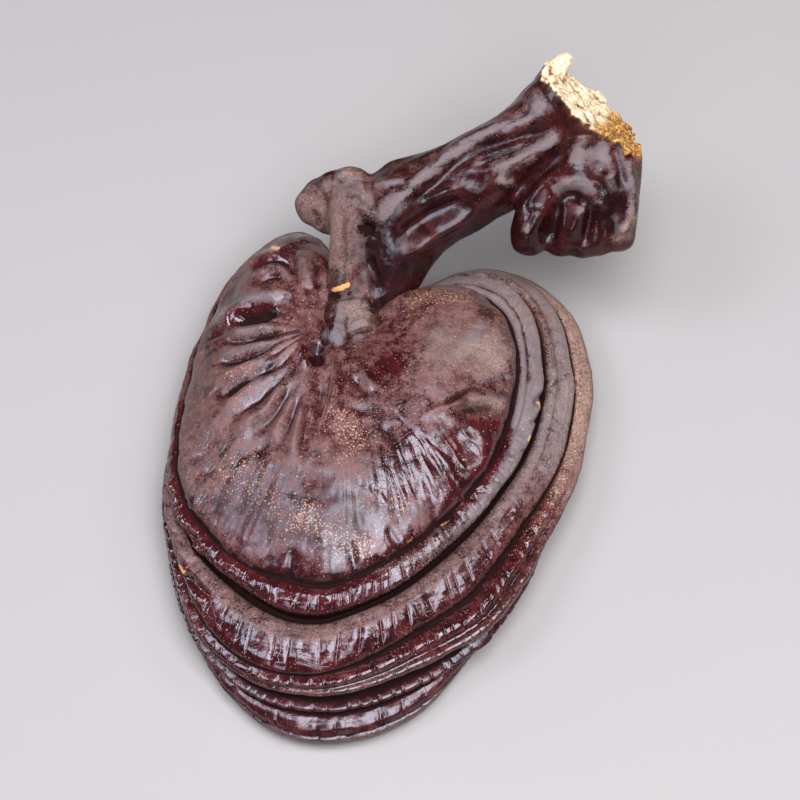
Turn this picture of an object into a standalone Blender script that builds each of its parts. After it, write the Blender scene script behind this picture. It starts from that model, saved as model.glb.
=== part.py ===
"""A dried reishi mushroom as picked: a lacquered, kidney-shaped cap with its short, folded side stem.

Run it with  blender --background --python part.py  or from Blender's text editor. Units are metres, +Z is up.
The mushroom lies on the rim of its cap. The cap is laid out in polar form about the umbo, the point where it
grew from the stem: a bearing is counted in degrees from +X towards +Y, and a reach is the plan distance from
the umbo. The stem is a run of round stations and lumps that leans back and to the right from the umbo.
"""

import bmesh
import bpy
import numpy as np
from mathutils import Vector, noise

MM = 0.001

# ---------------------------------------------------------------- driving sizes, in millimetres
UMBO_IN_PLAN = (-14.0, 21.9)  # from the middle of the whole mushroom's box
CROWN_HEIGHT = 38.0
CONTACT_GAP = 0.3  # between the cap and the stem, which is cut to sit on it

# Sections of the cap. Each row is a bearing and the reach, there, of the six growth lines: the edge of the
# domed disc, the deep groove, the rim line, the upper lip, the bead groove and the lower edge.
SECTIONS = (
    (0, 46.5, 54.2, 62.0, 67.2, 66.0, 62.0),
    (14, 44.0, 52.5, 60.5, 64.6, 63.6, 59.5),
    (24, 40.5, 50.8, 58.5, 61.8, 60.6, 57.0),
    (32, 36.5, 48.0, 55.0, 57.8, 56.6, 53.0),
    (38, 31.0, 44.2, 50.5, 53.6, 52.4, 49.0),
    (44, 21.5, 38.0, 45.0, 49.0, 48.0, 45.0),
    (49, 15.0, 29.0, 38.0, 43.0, 42.0, 39.0),
    (54, 12.5, 20.0, 29.0, 36.0, 35.5, 33.0),
    (61, 11.0, 14.2, 18.5, 23.5, 23.5, 21.5),
    (72, 10.0, 12.0, 14.0, 16.0, 16.0, 15.0),
    (88, 10.5, 12.0, 13.5, 15.0, 15.0, 14.3),
    (97, 14.0, 16.0, 18.0, 19.5, 19.5, 18.5),
    (103, 28.5, 31.0, 32.5, 34.0, 34.0, 32.0),
    (109, 42.0, 44.5, 45.5, 46.5, 46.3, 44.0),
    (117, 48.0, 49.8, 50.6, 51.0, 50.7, 48.5),
    (135, 47.5, 49.0, 49.7, 50.0, 49.7, 47.5),
    (165, 46.0, 47.3, 48.0, 48.3, 48.0, 46.0),
    (188, 49.0, 50.4, 51.2, 51.5, 51.2, 49.0),
    (208, 56.3, 58.0, 58.8, 59.2, 58.8, 56.5),
    (220, 64.5, 67.3, 68.8, 69.8, 69.5, 67.0),
    (230, 70.0, 74.0, 77.2, 78.8, 79.0, 76.5),
    (238, 73.4, 78.5, 85.5, 87.5, 88.2, 87.0),
    (246, 76.8, 81.5, 95.0, 97.0, 98.0, 98.5),
    (253, 79.0, 85.2, 101.5, 103.2, 104.6, 107.5),
    (260, 79.6, 88.6, 104.4, 106.4, 108.8, 115.0),
    (267, 81.2, 89.0, 104.0, 107.4, 110.2, 117.6),
    (275, 77.0, 84.8, 98.6, 104.6, 107.8, 115.3),
    (282, 73.0, 81.2, 93.0, 100.6, 103.8, 109.7),
    (288, 70.0, 77.0, 89.3, 98.4, 99.8, 101.0),
    (294, 66.6, 73.0, 86.5, 96.4, 95.8, 93.5),
    (302, 63.0, 69.2, 80.2, 89.6, 88.0, 84.0),
    (312, 59.2, 64.5, 74.3, 81.8, 80.0, 76.0),
    (324, 54.6, 61.4, 70.6, 76.6, 75.0, 71.0),
    (340, 50.0, 57.7, 66.6, 71.0, 69.6, 65.5),
)

# The height of the same six lines, where it changes.
LINE_HEIGHTS = (
    (0, 25.0, 20.3, 15.0, 11.5, 7.0, 3.0),
    (30, 24.0, 19.5, 14.0, 11.0, 7.0, 3.0),
    (50, 23.0, 19.0, 14.0, 11.0, 8.0, 5.0),
    (85, 20.0, 16.0, 13.0, 11.0, 9.0, 6.0),
    (120, 20.0, 16.0, 12.5, 10.0, 7.0, 3.0),
    (165, 17.0, 13.2, 10.5, 8.7, 6.0, 3.0),
    (208, 18.5, 14.5, 11.5, 9.5, 6.5, 3.0),
    (229, 24.0, 20.0, 14.5, 12.2, 8.0, 4.0),
    (245, 26.0, 21.8, 18.0, 13.0, 9.0, 5.5),
    (266, 27.0, 23.0, 18.0, 14.3, 9.3, 4.5),
    (284, 27.7, 24.0, 17.8, 14.8, 9.2, 5.2),
    (294, 27.0, 22.8, 17.5, 14.7, 8.5, 4.5),
    (315, 26.3, 21.8, 16.5, 14.0, 8.0, 3.5),
    (340, 25.3, 20.9, 15.5, 12.5, 7.5, 3.0),
)

# Relief as (growth coordinate, offset). Growth line n has the coordinate n, and a swollen zone lies between two.
RELIEF = (
    (0.0, 0.0), (0.84, 0.0), (0.95, 0.5), (0.985, -0.3), (1.0, -1.3), (1.08, -0.7), (1.3, 0.7), (1.55, 1.3),
    (1.8, 0.8), (1.93, -0.8), (2.0, -3.4), (2.06, -2.2), (2.2, 0.2), (2.5, 1.7), (2.75, 1.3), (2.93, 0.5),
    (3.0, -0.5), (3.1, 0.3), (3.5, 1.0), (3.9, 1.4), (4.0, 1.1), (4.3, -1.8), (4.65, -3.0), (5.0, -2.2),
    (5.2, 0.0), (5.5, 1.0), (5.9, 0.4), (6.0, 0.0),
)

# Swellings and hollows of the disc: x, y, radius, height.
SWELLINGS = (
    (30, -24, 22, 3.5),
    (-28, -30, 24, 2.5),
    (0, -58, 22, 2.0),
    (2, 4, 12, -7.0),
    (-26, 26, 14, 3.0),
)

# Pleats of the disc run out from a focus left of the umbo and are strongest about one bearing.
PLEAT_FOCUS = (-10.0, -4.0)
PLEAT_MIDDLE = 208.0
PLEAT_HEIGHT = 0.9

EDGE_ROLL = 3.5  # how far the lower edge rolls in before it meets the ground
REST_WIDTH = 5.0  # of the ring of the underside that touches the ground
UNDERSIDE_RISE = 7.0  # of the pore surface above that ring

# The stem: runs of stations (x, y, z, radius) about the umbo's foot.
STEM_RUN = (
    (2, 10, 22, 9), (7, 20.5, 32, 13), (12.5, 31.5, 39, 15.8), (17.5, 35.6, 41, 15.3), (24.6, 38, 43.5, 13.6),
    (38, 43, 48, 12.5), (53.5, 51, 53, 12.6), (61.3, 55.6, 57, 14.8), (67, 58, 60, 17), (74, 63, 67, 19),
)
TONGUE_RUN = (
    (0, 36, 49, 3.6), (-3.8, 32, 48.5, 3.8), (-2.8, 24.8, 46, 3.8), (-2.5, 18.6, 42, 4.4), (-3.6, 12, 37, 3.6),
)
FINGER_RUNS = (
    ((59, 41, 53, 7.5), (52.5, 32, 47, 6), (49.3, 25, 42, 4.7)),
    ((63, 40, 53, 8), (59, 32, 47, 6), (56, 24.5, 41.5, 4.4)),
    ((67, 40, 53, 8), (65, 31, 47, 6), (63.6, 23.5, 40, 4.8)),
    ((71, 44, 53, 8.5), (71, 33, 47.5, 6.5), (70, 24.5, 41, 4.9)),
    ((73, 50, 56, 9.5), (74.5, 37, 49.5, 7.5), (75, 25.5, 42.5, 5.2)),
)
# Single lumps (x, y, z, radius): the knuckle behind the left lobe, and the knob at the umbo.
LUMPS = (
    (-13, 36.5, 41, 5.6), (-11, 39, 43, 5.2), (-6, 38.5, 45, 6), (-1, 38.5, 45.5, 6.4), (1, 35, 45, 7),
    (-8, 34, 40, 6), (1, 1.5, 28.5, 5.5), (4.5, 6, 29, 6.2), (-1.5, 8, 31, 6.5),
)
# The torn end: its middle, the way it faces, and how far its corner shard stands up.
TORN_MIDDLE = (68.0, 57.0, 60.0)
TORN_FACING = (0.64, 0.46, 0.62)
SHARD_HEIGHT = 7.0

# ---------------------------------------------------------------- resolution
COLUMNS = 84
ROWS_PER_ZONE = (7, 3, 5, 2, 3, 3)
STEM_VOXEL = 1.3
STEM_KEEP = 0.14  # share of the stem's faces kept after it is smoothed


def around(rows, soften):
    """Columns of a bearing table at every half degree, rounded off over the softening angle."""
    table = np.array(rows, float)
    fine = np.arange(0, 360, 0.5)
    offset = np.minimum(fine, 360 - fine)
    kernel = np.exp(-0.5 * (offset / soften) ** 2)
    weight = np.fft.fft(kernel / kernel.sum())
    lines = []
    for values in table.T[1:]:
        line = np.interp(fine, table[:, 0], values, period=360)
        lines.append(np.real(np.fft.ifft(np.fft.fft(line) * weight)))
    return np.array(lines)


def at_bearing(lines, bearings):
    """The lines of around() at any bearings, as [line, bearing]."""
    fine = np.arange(0, 360.5, 0.5)
    return np.array([np.interp(np.asarray(bearings) % 360, fine, np.append(line, line[0])) for line in lines])


def even_bearings(count):
    """Bearings whose steps along the lower edge are of equal length."""
    fine = np.arange(0, 360.25, 0.5)
    reach = at_bearing(around(SECTIONS, 2.0), fine)[5]
    x, y = reach * np.cos(np.radians(fine)), reach * np.sin(np.radians(fine))
    length = np.append(0, np.cumsum(np.hypot(np.diff(x), np.diff(y))))
    return np.interp(np.arange(count) * length[-1] / count, length, fine)


def growth_rows(rows_per_zone):
    """Growth coordinates of the rows, from off the umbo to the lower edge."""
    rows = []
    for zone, count in enumerate(rows_per_zone):
        rows += list(zone + (np.arange(count) + 1) / count)
    return np.array(rows)


def smooth_top(bearings, growth):
    """The cap's upper face, [bearing, growth, xyz], with its swellings but no relief."""
    reach_lines = at_bearing(around(SECTIONS, 2.0), bearings)
    height_lines = at_bearing(around(LINE_HEIGHTS, 8.0), bearings)
    whole = np.arange(1, 7)
    share = np.minimum(growth, 1.0)
    reach = np.empty((len(bearings), len(growth)))
    z = np.empty_like(reach)
    for i in range(len(bearings)):
        outer = np.interp(growth, whole, reach_lines[:, i])
        reach[i] = np.where(growth < 1, reach_lines[0, i] * share, outer)
        dome = (1 - share**2.4) ** 0.8
        below = np.interp(growth, whole, height_lines[:, i])
        z[i] = below + (CROWN_HEIGHT - height_lines[0, i]) * dome
    angle = np.radians(bearings)[:, None]
    x, y = reach * np.cos(angle), reach * np.sin(angle)
    fade = np.clip((1.0 - growth) * 4, 0, 1)
    for cx, cy, radius, height in SWELLINGS:
        z = z + height * fade * np.exp(-((x - cx) ** 2 + (y - cy) ** 2) / radius**2)
    return np.stack([x, y, z], axis=-1)


def grid_normals(points):
    """Outward unit normals of a grid that closes on itself along its first axis."""
    along = np.roll(points, -1, axis=0) - np.roll(points, 1, axis=0)
    down = np.gradient(points, axis=1)
    normals = np.cross(down, along)
    return normals / np.maximum(np.linalg.norm(normals, axis=-1, keepdims=True), 1e-9)


def zone_widths(points, growth):
    """The width of the growth zone each point lies in, which limits how tall its relief can be."""
    steps = np.linalg.norm(np.diff(points, axis=1), axis=-1)
    length = np.concatenate([np.zeros((len(points), 1)), np.cumsum(steps, axis=1)], axis=1)
    width = np.empty_like(length)
    for zone in range(6):
        inside = np.nonzero((growth > zone) & (growth <= zone + 1))[0]
        first = max(inside[0] - 1, 0)
        width[:, inside] = (length[:, inside[-1]] - length[:, first])[:, None]
    return width


def relief_of(points, growth):
    """How far each point of the upper face stands out from the smooth cap."""
    knots, offsets = np.array(RELIEF).T
    rise = np.interp(growth, knots, offsets)[None, :]
    rise = rise * np.clip(zone_widths(points, growth) / 6.0, 0.2, 1.0)
    x, y = points[..., 0] - PLEAT_FOCUS[0], points[..., 1] - PLEAT_FOCUS[1]
    angle, away = np.arctan2(y, x), np.hypot(x, y)
    side = (np.degrees(angle) - PLEAT_MIDDLE + 180) % 360 - 180
    pleated = np.exp(-((side / 60.0) ** 2)) * np.sin(angle * 21 + 1.3 * np.sin(angle * 5))
    inner = np.clip((away - 4) / 10, 0, 1) * np.clip((0.97 - growth) / 0.35, 0, 1)[None, :]
    return rise + PLEAT_HEIGHT * pleated * inner


def underside(bearings):
    """The rolled edge, the ring that rests on the ground, and the pore surface."""
    reach = at_bearing(around(SECTIONS, 2.0), bearings)[5][:, None]
    edge = at_bearing(around(LINE_HEIGHTS, 8.0), bearings)[5][:, None]
    roll = np.minimum(EDGE_ROLL, reach * 0.2)
    turn = np.radians([45.0, 90.0])[None, :]
    roll_reach = reach - roll * (1 - np.cos(turn))
    roll_height = edge * (1 - np.sin(turn))
    inner = reach - roll - np.minimum(REST_WIDTH, reach * 0.25)
    field_reach = inner * np.array([1.0, 0.85, 0.6, 0.25])[None, :]
    field_height = UNDERSIDE_RISE * np.array([0.0, 0.5, 0.85, 1.0])[None, :] * np.clip(inner / 30, 0.2, 1)
    plan = np.concatenate([roll_reach, field_reach], axis=1)
    z = np.concatenate([roll_height, field_height], axis=1)
    angle = np.radians(bearings)[:, None]
    return np.stack([plan * np.cos(angle), plan * np.sin(angle), z], axis=-1)


def closed_fan(grid, top, bottom):
    """(points, faces) of a grid that closes round, with a point above its first row and one below its last."""
    columns, rows = grid.shape[:2]
    points = [tuple(p) for p in grid.reshape(-1, 3)] + [tuple(top), tuple(bottom)]
    faces = []
    for i in range(columns):
        here, there = i * rows, (i + 1) % columns * rows
        faces.append((len(points) - 2, here, there))
        for j in range(rows - 1):
            faces.append((here + j, here + j + 1, there + j + 1, there + j))
        faces.append((there + rows - 1, here + rows - 1, len(points) - 1))
    return points, faces


def cap_mesh(grow):
    """(points, faces) of the whole cap, with its upper face moved outward by grow."""
    bearings = even_bearings(COLUMNS)
    growth = growth_rows(ROWS_PER_ZONE)
    top = smooth_top(bearings, growth)
    rise = relief_of(top, growth) + grow
    top = top + grid_normals(top) * rise[..., None]
    grid = np.concatenate([top, underside(bearings)], axis=1)
    grid[..., 2] = np.maximum(grid[..., 2], 0.0)
    umbo = top[:, 0].mean(axis=0)
    return closed_fan(grid, umbo, (0.0, 0.0, UNDERSIDE_RISE))


def tube(stations, sides=12, steps=4):
    """(points, faces) of a closed round tube through the stations, with domed ends."""
    rows = np.array(stations, float)
    at = np.linspace(0, len(rows) - 1, (len(rows) - 1) * steps + 1)
    path = np.stack([np.interp(at, np.arange(len(rows)), rows[:, k]) for k in range(4)], axis=1)
    for _ in range(2):
        path[1:-1] = (path[:-2] + path[1:-1] * 2 + path[2:]) / 4
    first, last = path[0], path[-1]
    head = (path[0] - path[1])[:3] / np.linalg.norm((path[0] - path[1])[:3])
    tail = (path[-1] - path[-2])[:3] / np.linalg.norm((path[-1] - path[-2])[:3])
    domes = ((0.5, 0.87), (0.87, 0.5))
    before = [np.append(first[:3] + head * first[3] * out, first[3] * wide) for out, wide in domes[::-1]]
    after = [np.append(last[:3] + tail * last[3] * out, last[3] * wide) for out, wide in domes]
    path = np.array(before + list(path) + after)
    points, faces = [], []
    side = Vector((1, 0, 0)) if abs(tail[2]) > 0.9 else Vector((0, 0, 1))
    for k, (x, y, z, radius) in enumerate(path):
        ahead = Vector(path[min(k + 1, len(path) - 1)][:3] - path[max(k - 1, 0)][:3]).normalized()
        side = (side - ahead * side.dot(ahead)).normalized()
        other = ahead.cross(side)
        for turn in np.arange(sides) * 2 * np.pi / sides:
            points.append(Vector((x, y, z)) + (side * np.cos(turn) + other * np.sin(turn)) * radius)
    for k in range(len(path) - 1):
        for i in range(sides):
            a, b = k * sides + i, k * sides + (i + 1) % sides
            faces.append((a, b, b + sides, a + sides))
    faces.append(tuple(range(sides))[::-1])
    faces.append(tuple(range((len(path) - 1) * sides, len(path) * sides)))
    return points, faces


def ball(x, y, z, radius):
    """(points, faces) of a round lump."""
    return tube(((x, y, z - radius * 0.2, radius * 0.98), (x, y, z + radius * 0.2, radius * 0.98)), 12, 1)


def torn_block():
    """(points, faces) of the block that is torn away: its near face is a rough field with a dip for the shard."""
    facing = Vector(TORN_FACING).normalized()
    across = facing.cross(Vector((0.743, -0.583, -0.337))).normalized()
    along = across.cross(facing)
    middle = Vector(TORN_MIDDLE)
    count, reach = 26, 34.0
    points = []
    for i in range(count):
        for j in range(count):
            u, v = (i / (count - 1) * 2 - 1) * reach, (j / (count - 1) * 2 - 1) * reach
            rough = noise.fractal(Vector((u, v, 3.0)) * 0.22, 0.7, 2.0, 3) * 1.6
            shard = SHARD_HEIGHT * np.exp(-((u + 14.5) ** 2 + (v - 1.0) ** 2) / 9.0)
            points.append(middle + along * u + across * v + facing * (rough + shard))
    for i in range(count):
        for j in range(count):
            u, v = (i / (count - 1) * 2 - 1) * reach, (j / (count - 1) * 2 - 1) * reach
            points.append(middle + along * u + across * v + facing * 40.0)
    faces = []
    far = count * count
    for i in range(count - 1):
        for j in range(count - 1):
            a, b, c, d = i * count + j, (i + 1) * count + j, (i + 1) * count + j + 1, i * count + j + 1
            faces.append((d, c, b, a))
            faces.append((far + a, far + b, far + c, far + d))
    ring = list(range(count)) + [k * count + count - 1 for k in range(1, count)]
    ring += [(count - 1) * count + j for j in range(count - 2, -1, -1)]
    ring += [k * count for k in range(count - 2, 0, -1)]
    for k in range(len(ring)):
        a, b = ring[k], ring[(k + 1) % len(ring)]
        faces.append((b, a, far + a, far + b))
    return points, faces


def join(parts):
    """One (points, faces) out of several closed ones."""
    points, faces = [], []
    for part_points, part_faces in parts:
        start = len(points)
        points += list(part_points)
        faces += [tuple(start + k for k in face) for face in part_faces]
    return points, faces


def make_object(name, points, faces, material):
    """A smooth-shaded object from points in mm about the umbo's foot."""
    shift = Vector((UMBO_IN_PLAN[0], UMBO_IN_PLAN[1], 0.0))
    mesh = bpy.data.meshes.new(name)
    mesh.from_pydata([(Vector(p) + shift) * MM for p in points], [], faces)
    mesh.materials.append(material)
    mesh.shade_smooth()
    obj = bpy.data.objects.new(name, mesh)
    bpy.context.scene.collection.objects.link(obj)
    return obj


def make_cutter(name, points, faces, material):
    cutter = make_object(name, points, faces, material)
    cutter.hide_render = True
    cutter.display_type = "WIRE"
    return cutter


def cut(obj, cutter):
    boolean = obj.modifiers.new("cut " + cutter.name, "BOOLEAN")
    boolean.operation = "DIFFERENCE"
    boolean.solver = "EXACT"
    boolean.object = cutter


def make_material(name, colour, roughness):
    material = bpy.data.materials.new(name)
    material.use_nodes = True
    shader = material.node_tree.nodes["Principled BSDF"]
    shader.inputs["Base Color"].default_value = (*colour, 1.0)
    shader.inputs["Roughness"].default_value = roughness
    return material


def build_cap():
    crust = make_material("lacquered_crust", (0.10, 0.03, 0.025), 0.3)
    make_object("cap", *cap_mesh(0.0), crust)


def drop_crumbs(mesh):
    """Leaves only the largest connected piece of a mesh: the cuts can leave crumbs beside it."""
    shape = bmesh.new()
    shape.from_mesh(mesh)
    bmesh.ops.dissolve_degenerate(shape, dist=0.02 * MM, edges=shape.edges)
    bmesh.ops.triangulate(shape, faces=shape.faces)
    unseen = set(shape.faces)
    pieces = []
    while unseen:
        piece, front = [], [unseen.pop()]
        while front:
            face = front.pop()
            piece.append(face)
            for edge in face.edges:
                for other in edge.link_faces:
                    if other in unseen and len(edge.link_faces) == 2:
                        unseen.remove(other)
                        front.append(other)
        pieces.append(piece)
    pieces.sort(key=len)
    for piece in pieces[:-1]:
        bmesh.ops.delete(shape, geom=piece, context="FACES")
    shape.to_mesh(mesh)
    shape.free()


def build_stem():
    bark = make_material("lacquered_stem", (0.07, 0.025, 0.022), 0.35)
    runs = [STEM_RUN, TONGUE_RUN] + list(FINGER_RUNS)
    parts = [tube(run) for run in runs] + [ball(*lump) for lump in LUMPS]
    stem = make_object("stem", *join(parts), bark)
    remesh = stem.modifiers.new("one skin", "REMESH")
    remesh.mode = "VOXEL"
    remesh.voxel_size = STEM_VOXEL * MM
    smooth = stem.modifiers.new("grown smooth", "SMOOTH")
    smooth.factor = 0.5
    smooth.iterations = 3
    fewer = stem.modifiers.new("fewer faces", "DECIMATE")
    fewer.ratio = STEM_KEEP
    torn = make_cutter("torn_block", *torn_block(), bark)
    clearance = make_cutter("cap_clearance", *cap_mesh(CONTACT_GAP), bark)
    cut(stem, torn)
    cut(stem, clearance)
    depsgraph = bpy.context.evaluated_depsgraph_get()
    finished = bpy.data.meshes.new_from_object(stem.evaluated_get(depsgraph))
    stem.modifiers.clear()
    stem.data = finished
    drop_crumbs(finished)
    for cutter in (torn, clearance):
        bpy.data.objects.remove(cutter)


def build():
    for obj in list(bpy.data.objects):
        bpy.data.objects.remove(obj)
    build_cap()
    build_stem()


build()
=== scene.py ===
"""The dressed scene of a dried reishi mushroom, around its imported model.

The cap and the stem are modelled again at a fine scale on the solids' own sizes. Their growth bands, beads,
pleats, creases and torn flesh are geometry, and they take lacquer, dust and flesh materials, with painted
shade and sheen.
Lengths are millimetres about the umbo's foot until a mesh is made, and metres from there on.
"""

import math

import bpy
import numpy as np
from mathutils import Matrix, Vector


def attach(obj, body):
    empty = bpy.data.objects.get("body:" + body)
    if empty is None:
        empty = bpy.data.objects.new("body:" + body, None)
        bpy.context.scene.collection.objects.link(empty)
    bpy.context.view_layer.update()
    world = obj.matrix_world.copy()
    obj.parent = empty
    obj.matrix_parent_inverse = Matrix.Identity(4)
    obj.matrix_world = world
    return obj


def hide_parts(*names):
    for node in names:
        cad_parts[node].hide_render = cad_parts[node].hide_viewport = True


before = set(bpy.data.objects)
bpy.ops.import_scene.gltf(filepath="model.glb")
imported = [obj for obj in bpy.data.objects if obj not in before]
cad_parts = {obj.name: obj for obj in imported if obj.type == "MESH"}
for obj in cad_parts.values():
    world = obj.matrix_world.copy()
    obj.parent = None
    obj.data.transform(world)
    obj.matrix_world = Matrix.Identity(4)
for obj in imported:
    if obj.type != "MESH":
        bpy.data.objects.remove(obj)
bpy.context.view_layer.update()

MM = 0.001

# ---------------------------------------------------------------- sizes that the solids also have
UMBO_IN_PLAN = (-14.0, 21.9)
UMBO_SHIFT = np.array((*UMBO_IN_PLAN, 0.0))
CROWN_HEIGHT = 38.0
DOME_SHAPE = (2.4, 0.8)
REACH_SOFTENING = 2.0
HEIGHT_SOFTENING = 8.0
# Bearing in degrees, then how far the six growth lines lie from the umbo there.
SECTIONS = (
    (0, 46.5, 54.2, 62.0, 67.2, 66.0, 62.0),
    (14, 44.0, 52.5, 60.5, 64.6, 63.6, 59.5),
    (24, 40.5, 50.8, 58.5, 61.8, 60.6, 57.0),
    (32, 36.5, 48.0, 55.0, 57.8, 56.6, 53.0),
    (38, 31.0, 44.2, 50.5, 53.6, 52.4, 49.0),
    (44, 21.5, 38.0, 45.0, 49.0, 48.0, 45.0),
    (49, 15.0, 29.0, 38.0, 43.0, 42.0, 39.0),
    (54, 12.5, 20.0, 29.0, 36.0, 35.5, 33.0),
    (61, 11.0, 14.2, 18.5, 23.5, 23.5, 21.5),
    (72, 10.0, 12.0, 14.0, 16.0, 16.0, 15.0),
    (88, 10.5, 12.0, 13.5, 15.0, 15.0, 14.3),
    (97, 14.0, 16.0, 18.0, 19.5, 19.5, 18.5),
    (103, 28.5, 31.0, 32.5, 34.0, 34.0, 32.0),
    (109, 42.0, 44.5, 45.5, 46.5, 46.3, 44.0),
    (117, 48.0, 49.8, 50.6, 51.0, 50.7, 48.5),
    (135, 47.5, 49.0, 49.7, 50.0, 49.7, 47.5),
    (165, 46.0, 47.3, 48.0, 48.3, 48.0, 46.0),
    (188, 49.0, 50.4, 51.2, 51.5, 51.2, 49.0),
    (208, 56.3, 58.0, 58.8, 59.2, 58.8, 56.5),
    (220, 64.5, 67.3, 68.8, 69.8, 69.5, 67.0),
    (230, 70.0, 74.0, 77.2, 78.8, 79.0, 76.5),
    (238, 73.4, 78.5, 85.5, 87.5, 88.2, 87.0),
    (246, 76.8, 81.5, 95.0, 97.0, 98.0, 98.5),
    (253, 79.0, 85.2, 101.5, 103.2, 104.6, 107.5),
    (260, 79.6, 88.6, 104.4, 106.4, 108.8, 115.0),
    (267, 81.2, 89.0, 104.0, 107.4, 110.2, 117.6),
    (275, 77.0, 84.8, 98.6, 104.6, 107.8, 115.3),
    (282, 73.0, 81.2, 93.0, 100.6, 103.8, 109.7),
    (288, 70.0, 77.0, 89.3, 98.4, 99.8, 101.0),
    (294, 66.6, 73.0, 86.5, 96.4, 95.8, 93.5),
    (302, 63.0, 69.2, 80.2, 89.6, 88.0, 84.0),
    (312, 59.2, 64.5, 74.3, 81.8, 80.0, 76.0),
    (324, 54.6, 61.4, 70.6, 76.6, 75.0, 71.0),
    (340, 50.0, 57.7, 66.6, 71.0, 69.6, 65.5),
)
# Bearing in degrees, then how high the growth lines lie there.
LINE_HEIGHTS = (
    (0, 25.0, 20.3, 15.0, 11.5, 7.0, 3.0),
    (30, 24.0, 19.5, 14.0, 11.0, 7.0, 3.0),
    (50, 23.0, 19.0, 14.0, 11.0, 8.0, 5.0),
    (85, 20.0, 16.0, 13.0, 11.0, 9.0, 6.0),
    (120, 20.0, 16.0, 12.5, 10.0, 7.0, 3.0),
    (165, 17.0, 13.2, 10.5, 8.7, 6.0, 3.0),
    (208, 18.5, 14.5, 11.5, 9.5, 6.5, 3.0),
    (229, 24.0, 20.0, 14.5, 12.2, 8.0, 4.0),
    (245, 26.0, 21.8, 18.0, 13.0, 9.0, 5.5),
    (266, 27.0, 23.0, 18.0, 14.3, 9.3, 4.5),
    (284, 27.7, 24.0, 17.8, 14.8, 9.2, 5.2),
    (294, 27.0, 22.8, 17.5, 14.7, 8.5, 4.5),
    (315, 26.3, 21.8, 16.5, 14.0, 8.0, 3.5),
    (340, 25.3, 20.9, 15.5, 12.5, 7.5, 3.0),
)
# Swellings of the disc: x, y, radius, height.
SWELLINGS = (
    (30, -24, 22, 3.5),
    (-28, -30, 24, 2.5),
    (0, -58, 22, 2.0),
    (2, 4, 12, -7.0),
    (-26, 26, 14, 3.0),
)
PLEAT_FOCUS = (-10.0, -4.0)
PLEAT_MIDDLE = 208.0
EDGE_ROLL = 3.5
REST_WIDTH = 5.0
UNDERSIDE_RISE = 7.0
# Tubes and balls of the stem, each station or ball as x, y, z, radius.
STEM_RUN = (
    (2, 10, 22, 9), (7, 20.5, 32, 13), (12.5, 31.5, 39, 15.8), (17.5, 35.6, 41, 15.3),
    (24.6, 38, 43.5, 13.6), (38, 43, 48, 12.5), (53.5, 51, 53, 12.6), (61.3, 55.6, 57, 14.8),
    (67, 58, 60, 17), (74, 63, 67, 19),
)
TONGUE_RUN = (
    (0, 36, 49, 3.6), (-3.8, 32, 48.5, 3.8), (-2.8, 24.8, 46, 3.8), (-2.5, 18.6, 42, 4.4),
    (-3.6, 12, 37, 3.6),
)
FINGER_RUNS = (
    ((59, 41, 53, 7.5), (52.5, 32, 47, 6), (50.5, 25, 42, 5.2)),
    ((63, 40, 53, 8), (61.5, 32, 47, 6.5), (60.0, 24.5, 41.5, 5.2)),
    ((67, 40, 53, 8), (66, 31, 47, 6), (65.5, 24.0, 40.5, 4.8)),
    ((71, 44, 53, 8.5), (71, 33, 47.5, 6.5), (70, 24.5, 41, 4.9)),
    ((73, 50, 56, 9.5), (74.5, 37, 49.5, 7.5), (75, 25.5, 42.5, 5.2)),
)
LUMPS = (
    (-13, 36.5, 41, 5.6), (-11, 39, 43, 5.2), (-6, 38.5, 45, 6), (-1, 38.5, 45.5, 6.4), (1, 35, 45, 7),
    (-8, 34, 40, 6), (-0.7, 3.0, 30, 8.4), (-1.5, 8, 31, 6.5), (-4.4, -6.0, 36.0, 4.6),
)
TORN_MIDDLE = np.array((68.0, 57.0, 60.0))
TORN_FACING = (0.64, 0.46, 0.62)
SHARD_HEIGHT = 7.0
SHARD_PLACE = (-14.5, 1.0)

# ---------------------------------------------------------------- finer sizes of the stem
TORN_EDGE_ON = (0.743, -0.583, -0.337)
TORN_DEPTH = 40.0
# The last lump is a small boss, pressed flat from a height over its middle, out to a distance from it.
BOSS_MIDDLE = np.array((-4.4, -6.0, 36.0))
BOSS_FACING = np.array((0.08, -0.40, 0.915))
BOSS_FLAT_FROM = 2.2
BOSS_FLATNESS = 0.72
BOSS_REACH = (5.4, 6.4)

# ---------------------------------------------------------------- the view that strokes are drawn in
# Strokes of relief, of dust and of painted shade and sheen are drawn on the skin from one fixed viewpoint, in
# its picture's pixels.
VIEW_ELEVATION = 60.0
VIEW_PLACE = (87.03, -448.38, 721.44)
VIEW_FOCAL = 2222.2
VIEW_MIDDLE = 400.0
# The picture is taken from the same place, turned to the mushroom's middle and a little closer.
PICTURE_MIDDLE = (201.5, 337.5)
PICTURE_ZOOM = 1.3
SENSOR_WIDTH = 36.0

# ---------------------------------------------------------------- resolution
COLUMNS = 1000
FRONT_CLOSENESS = 1.1
ROWS_PER_ZONE = (98, 24, 44, 18, 20, 28)
PORE_ROWS = 26
ROUGH_VOXEL = 0.7
STEM_VOXEL = 0.465
TORN_REACH = 30.0
TORN_CELLS = 140
FULL_TURN = 2 * np.pi
HALF_DEGREES = np.arange(0, 360.5, 0.5)

# ---------------------------------------------------------------- sectors and zones of the cap
# Sectors: the bearing of the middle, the angle from it where the sector is full, and where it is gone.
FRONT = (256, 45, 85)
MID_FRONT = (262, 22, 52)
CLOSE_ROWS = (264, 30, 60)
LOBE = (348, 60, 80)
RIM_SIDE = (6, 24, 50)
RED_SIDE = (35, 25, 60)
# The growth lines where one piece ends and the next begins.
PIECE_LINES = (1.0, 2.0, 3.0)
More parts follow.
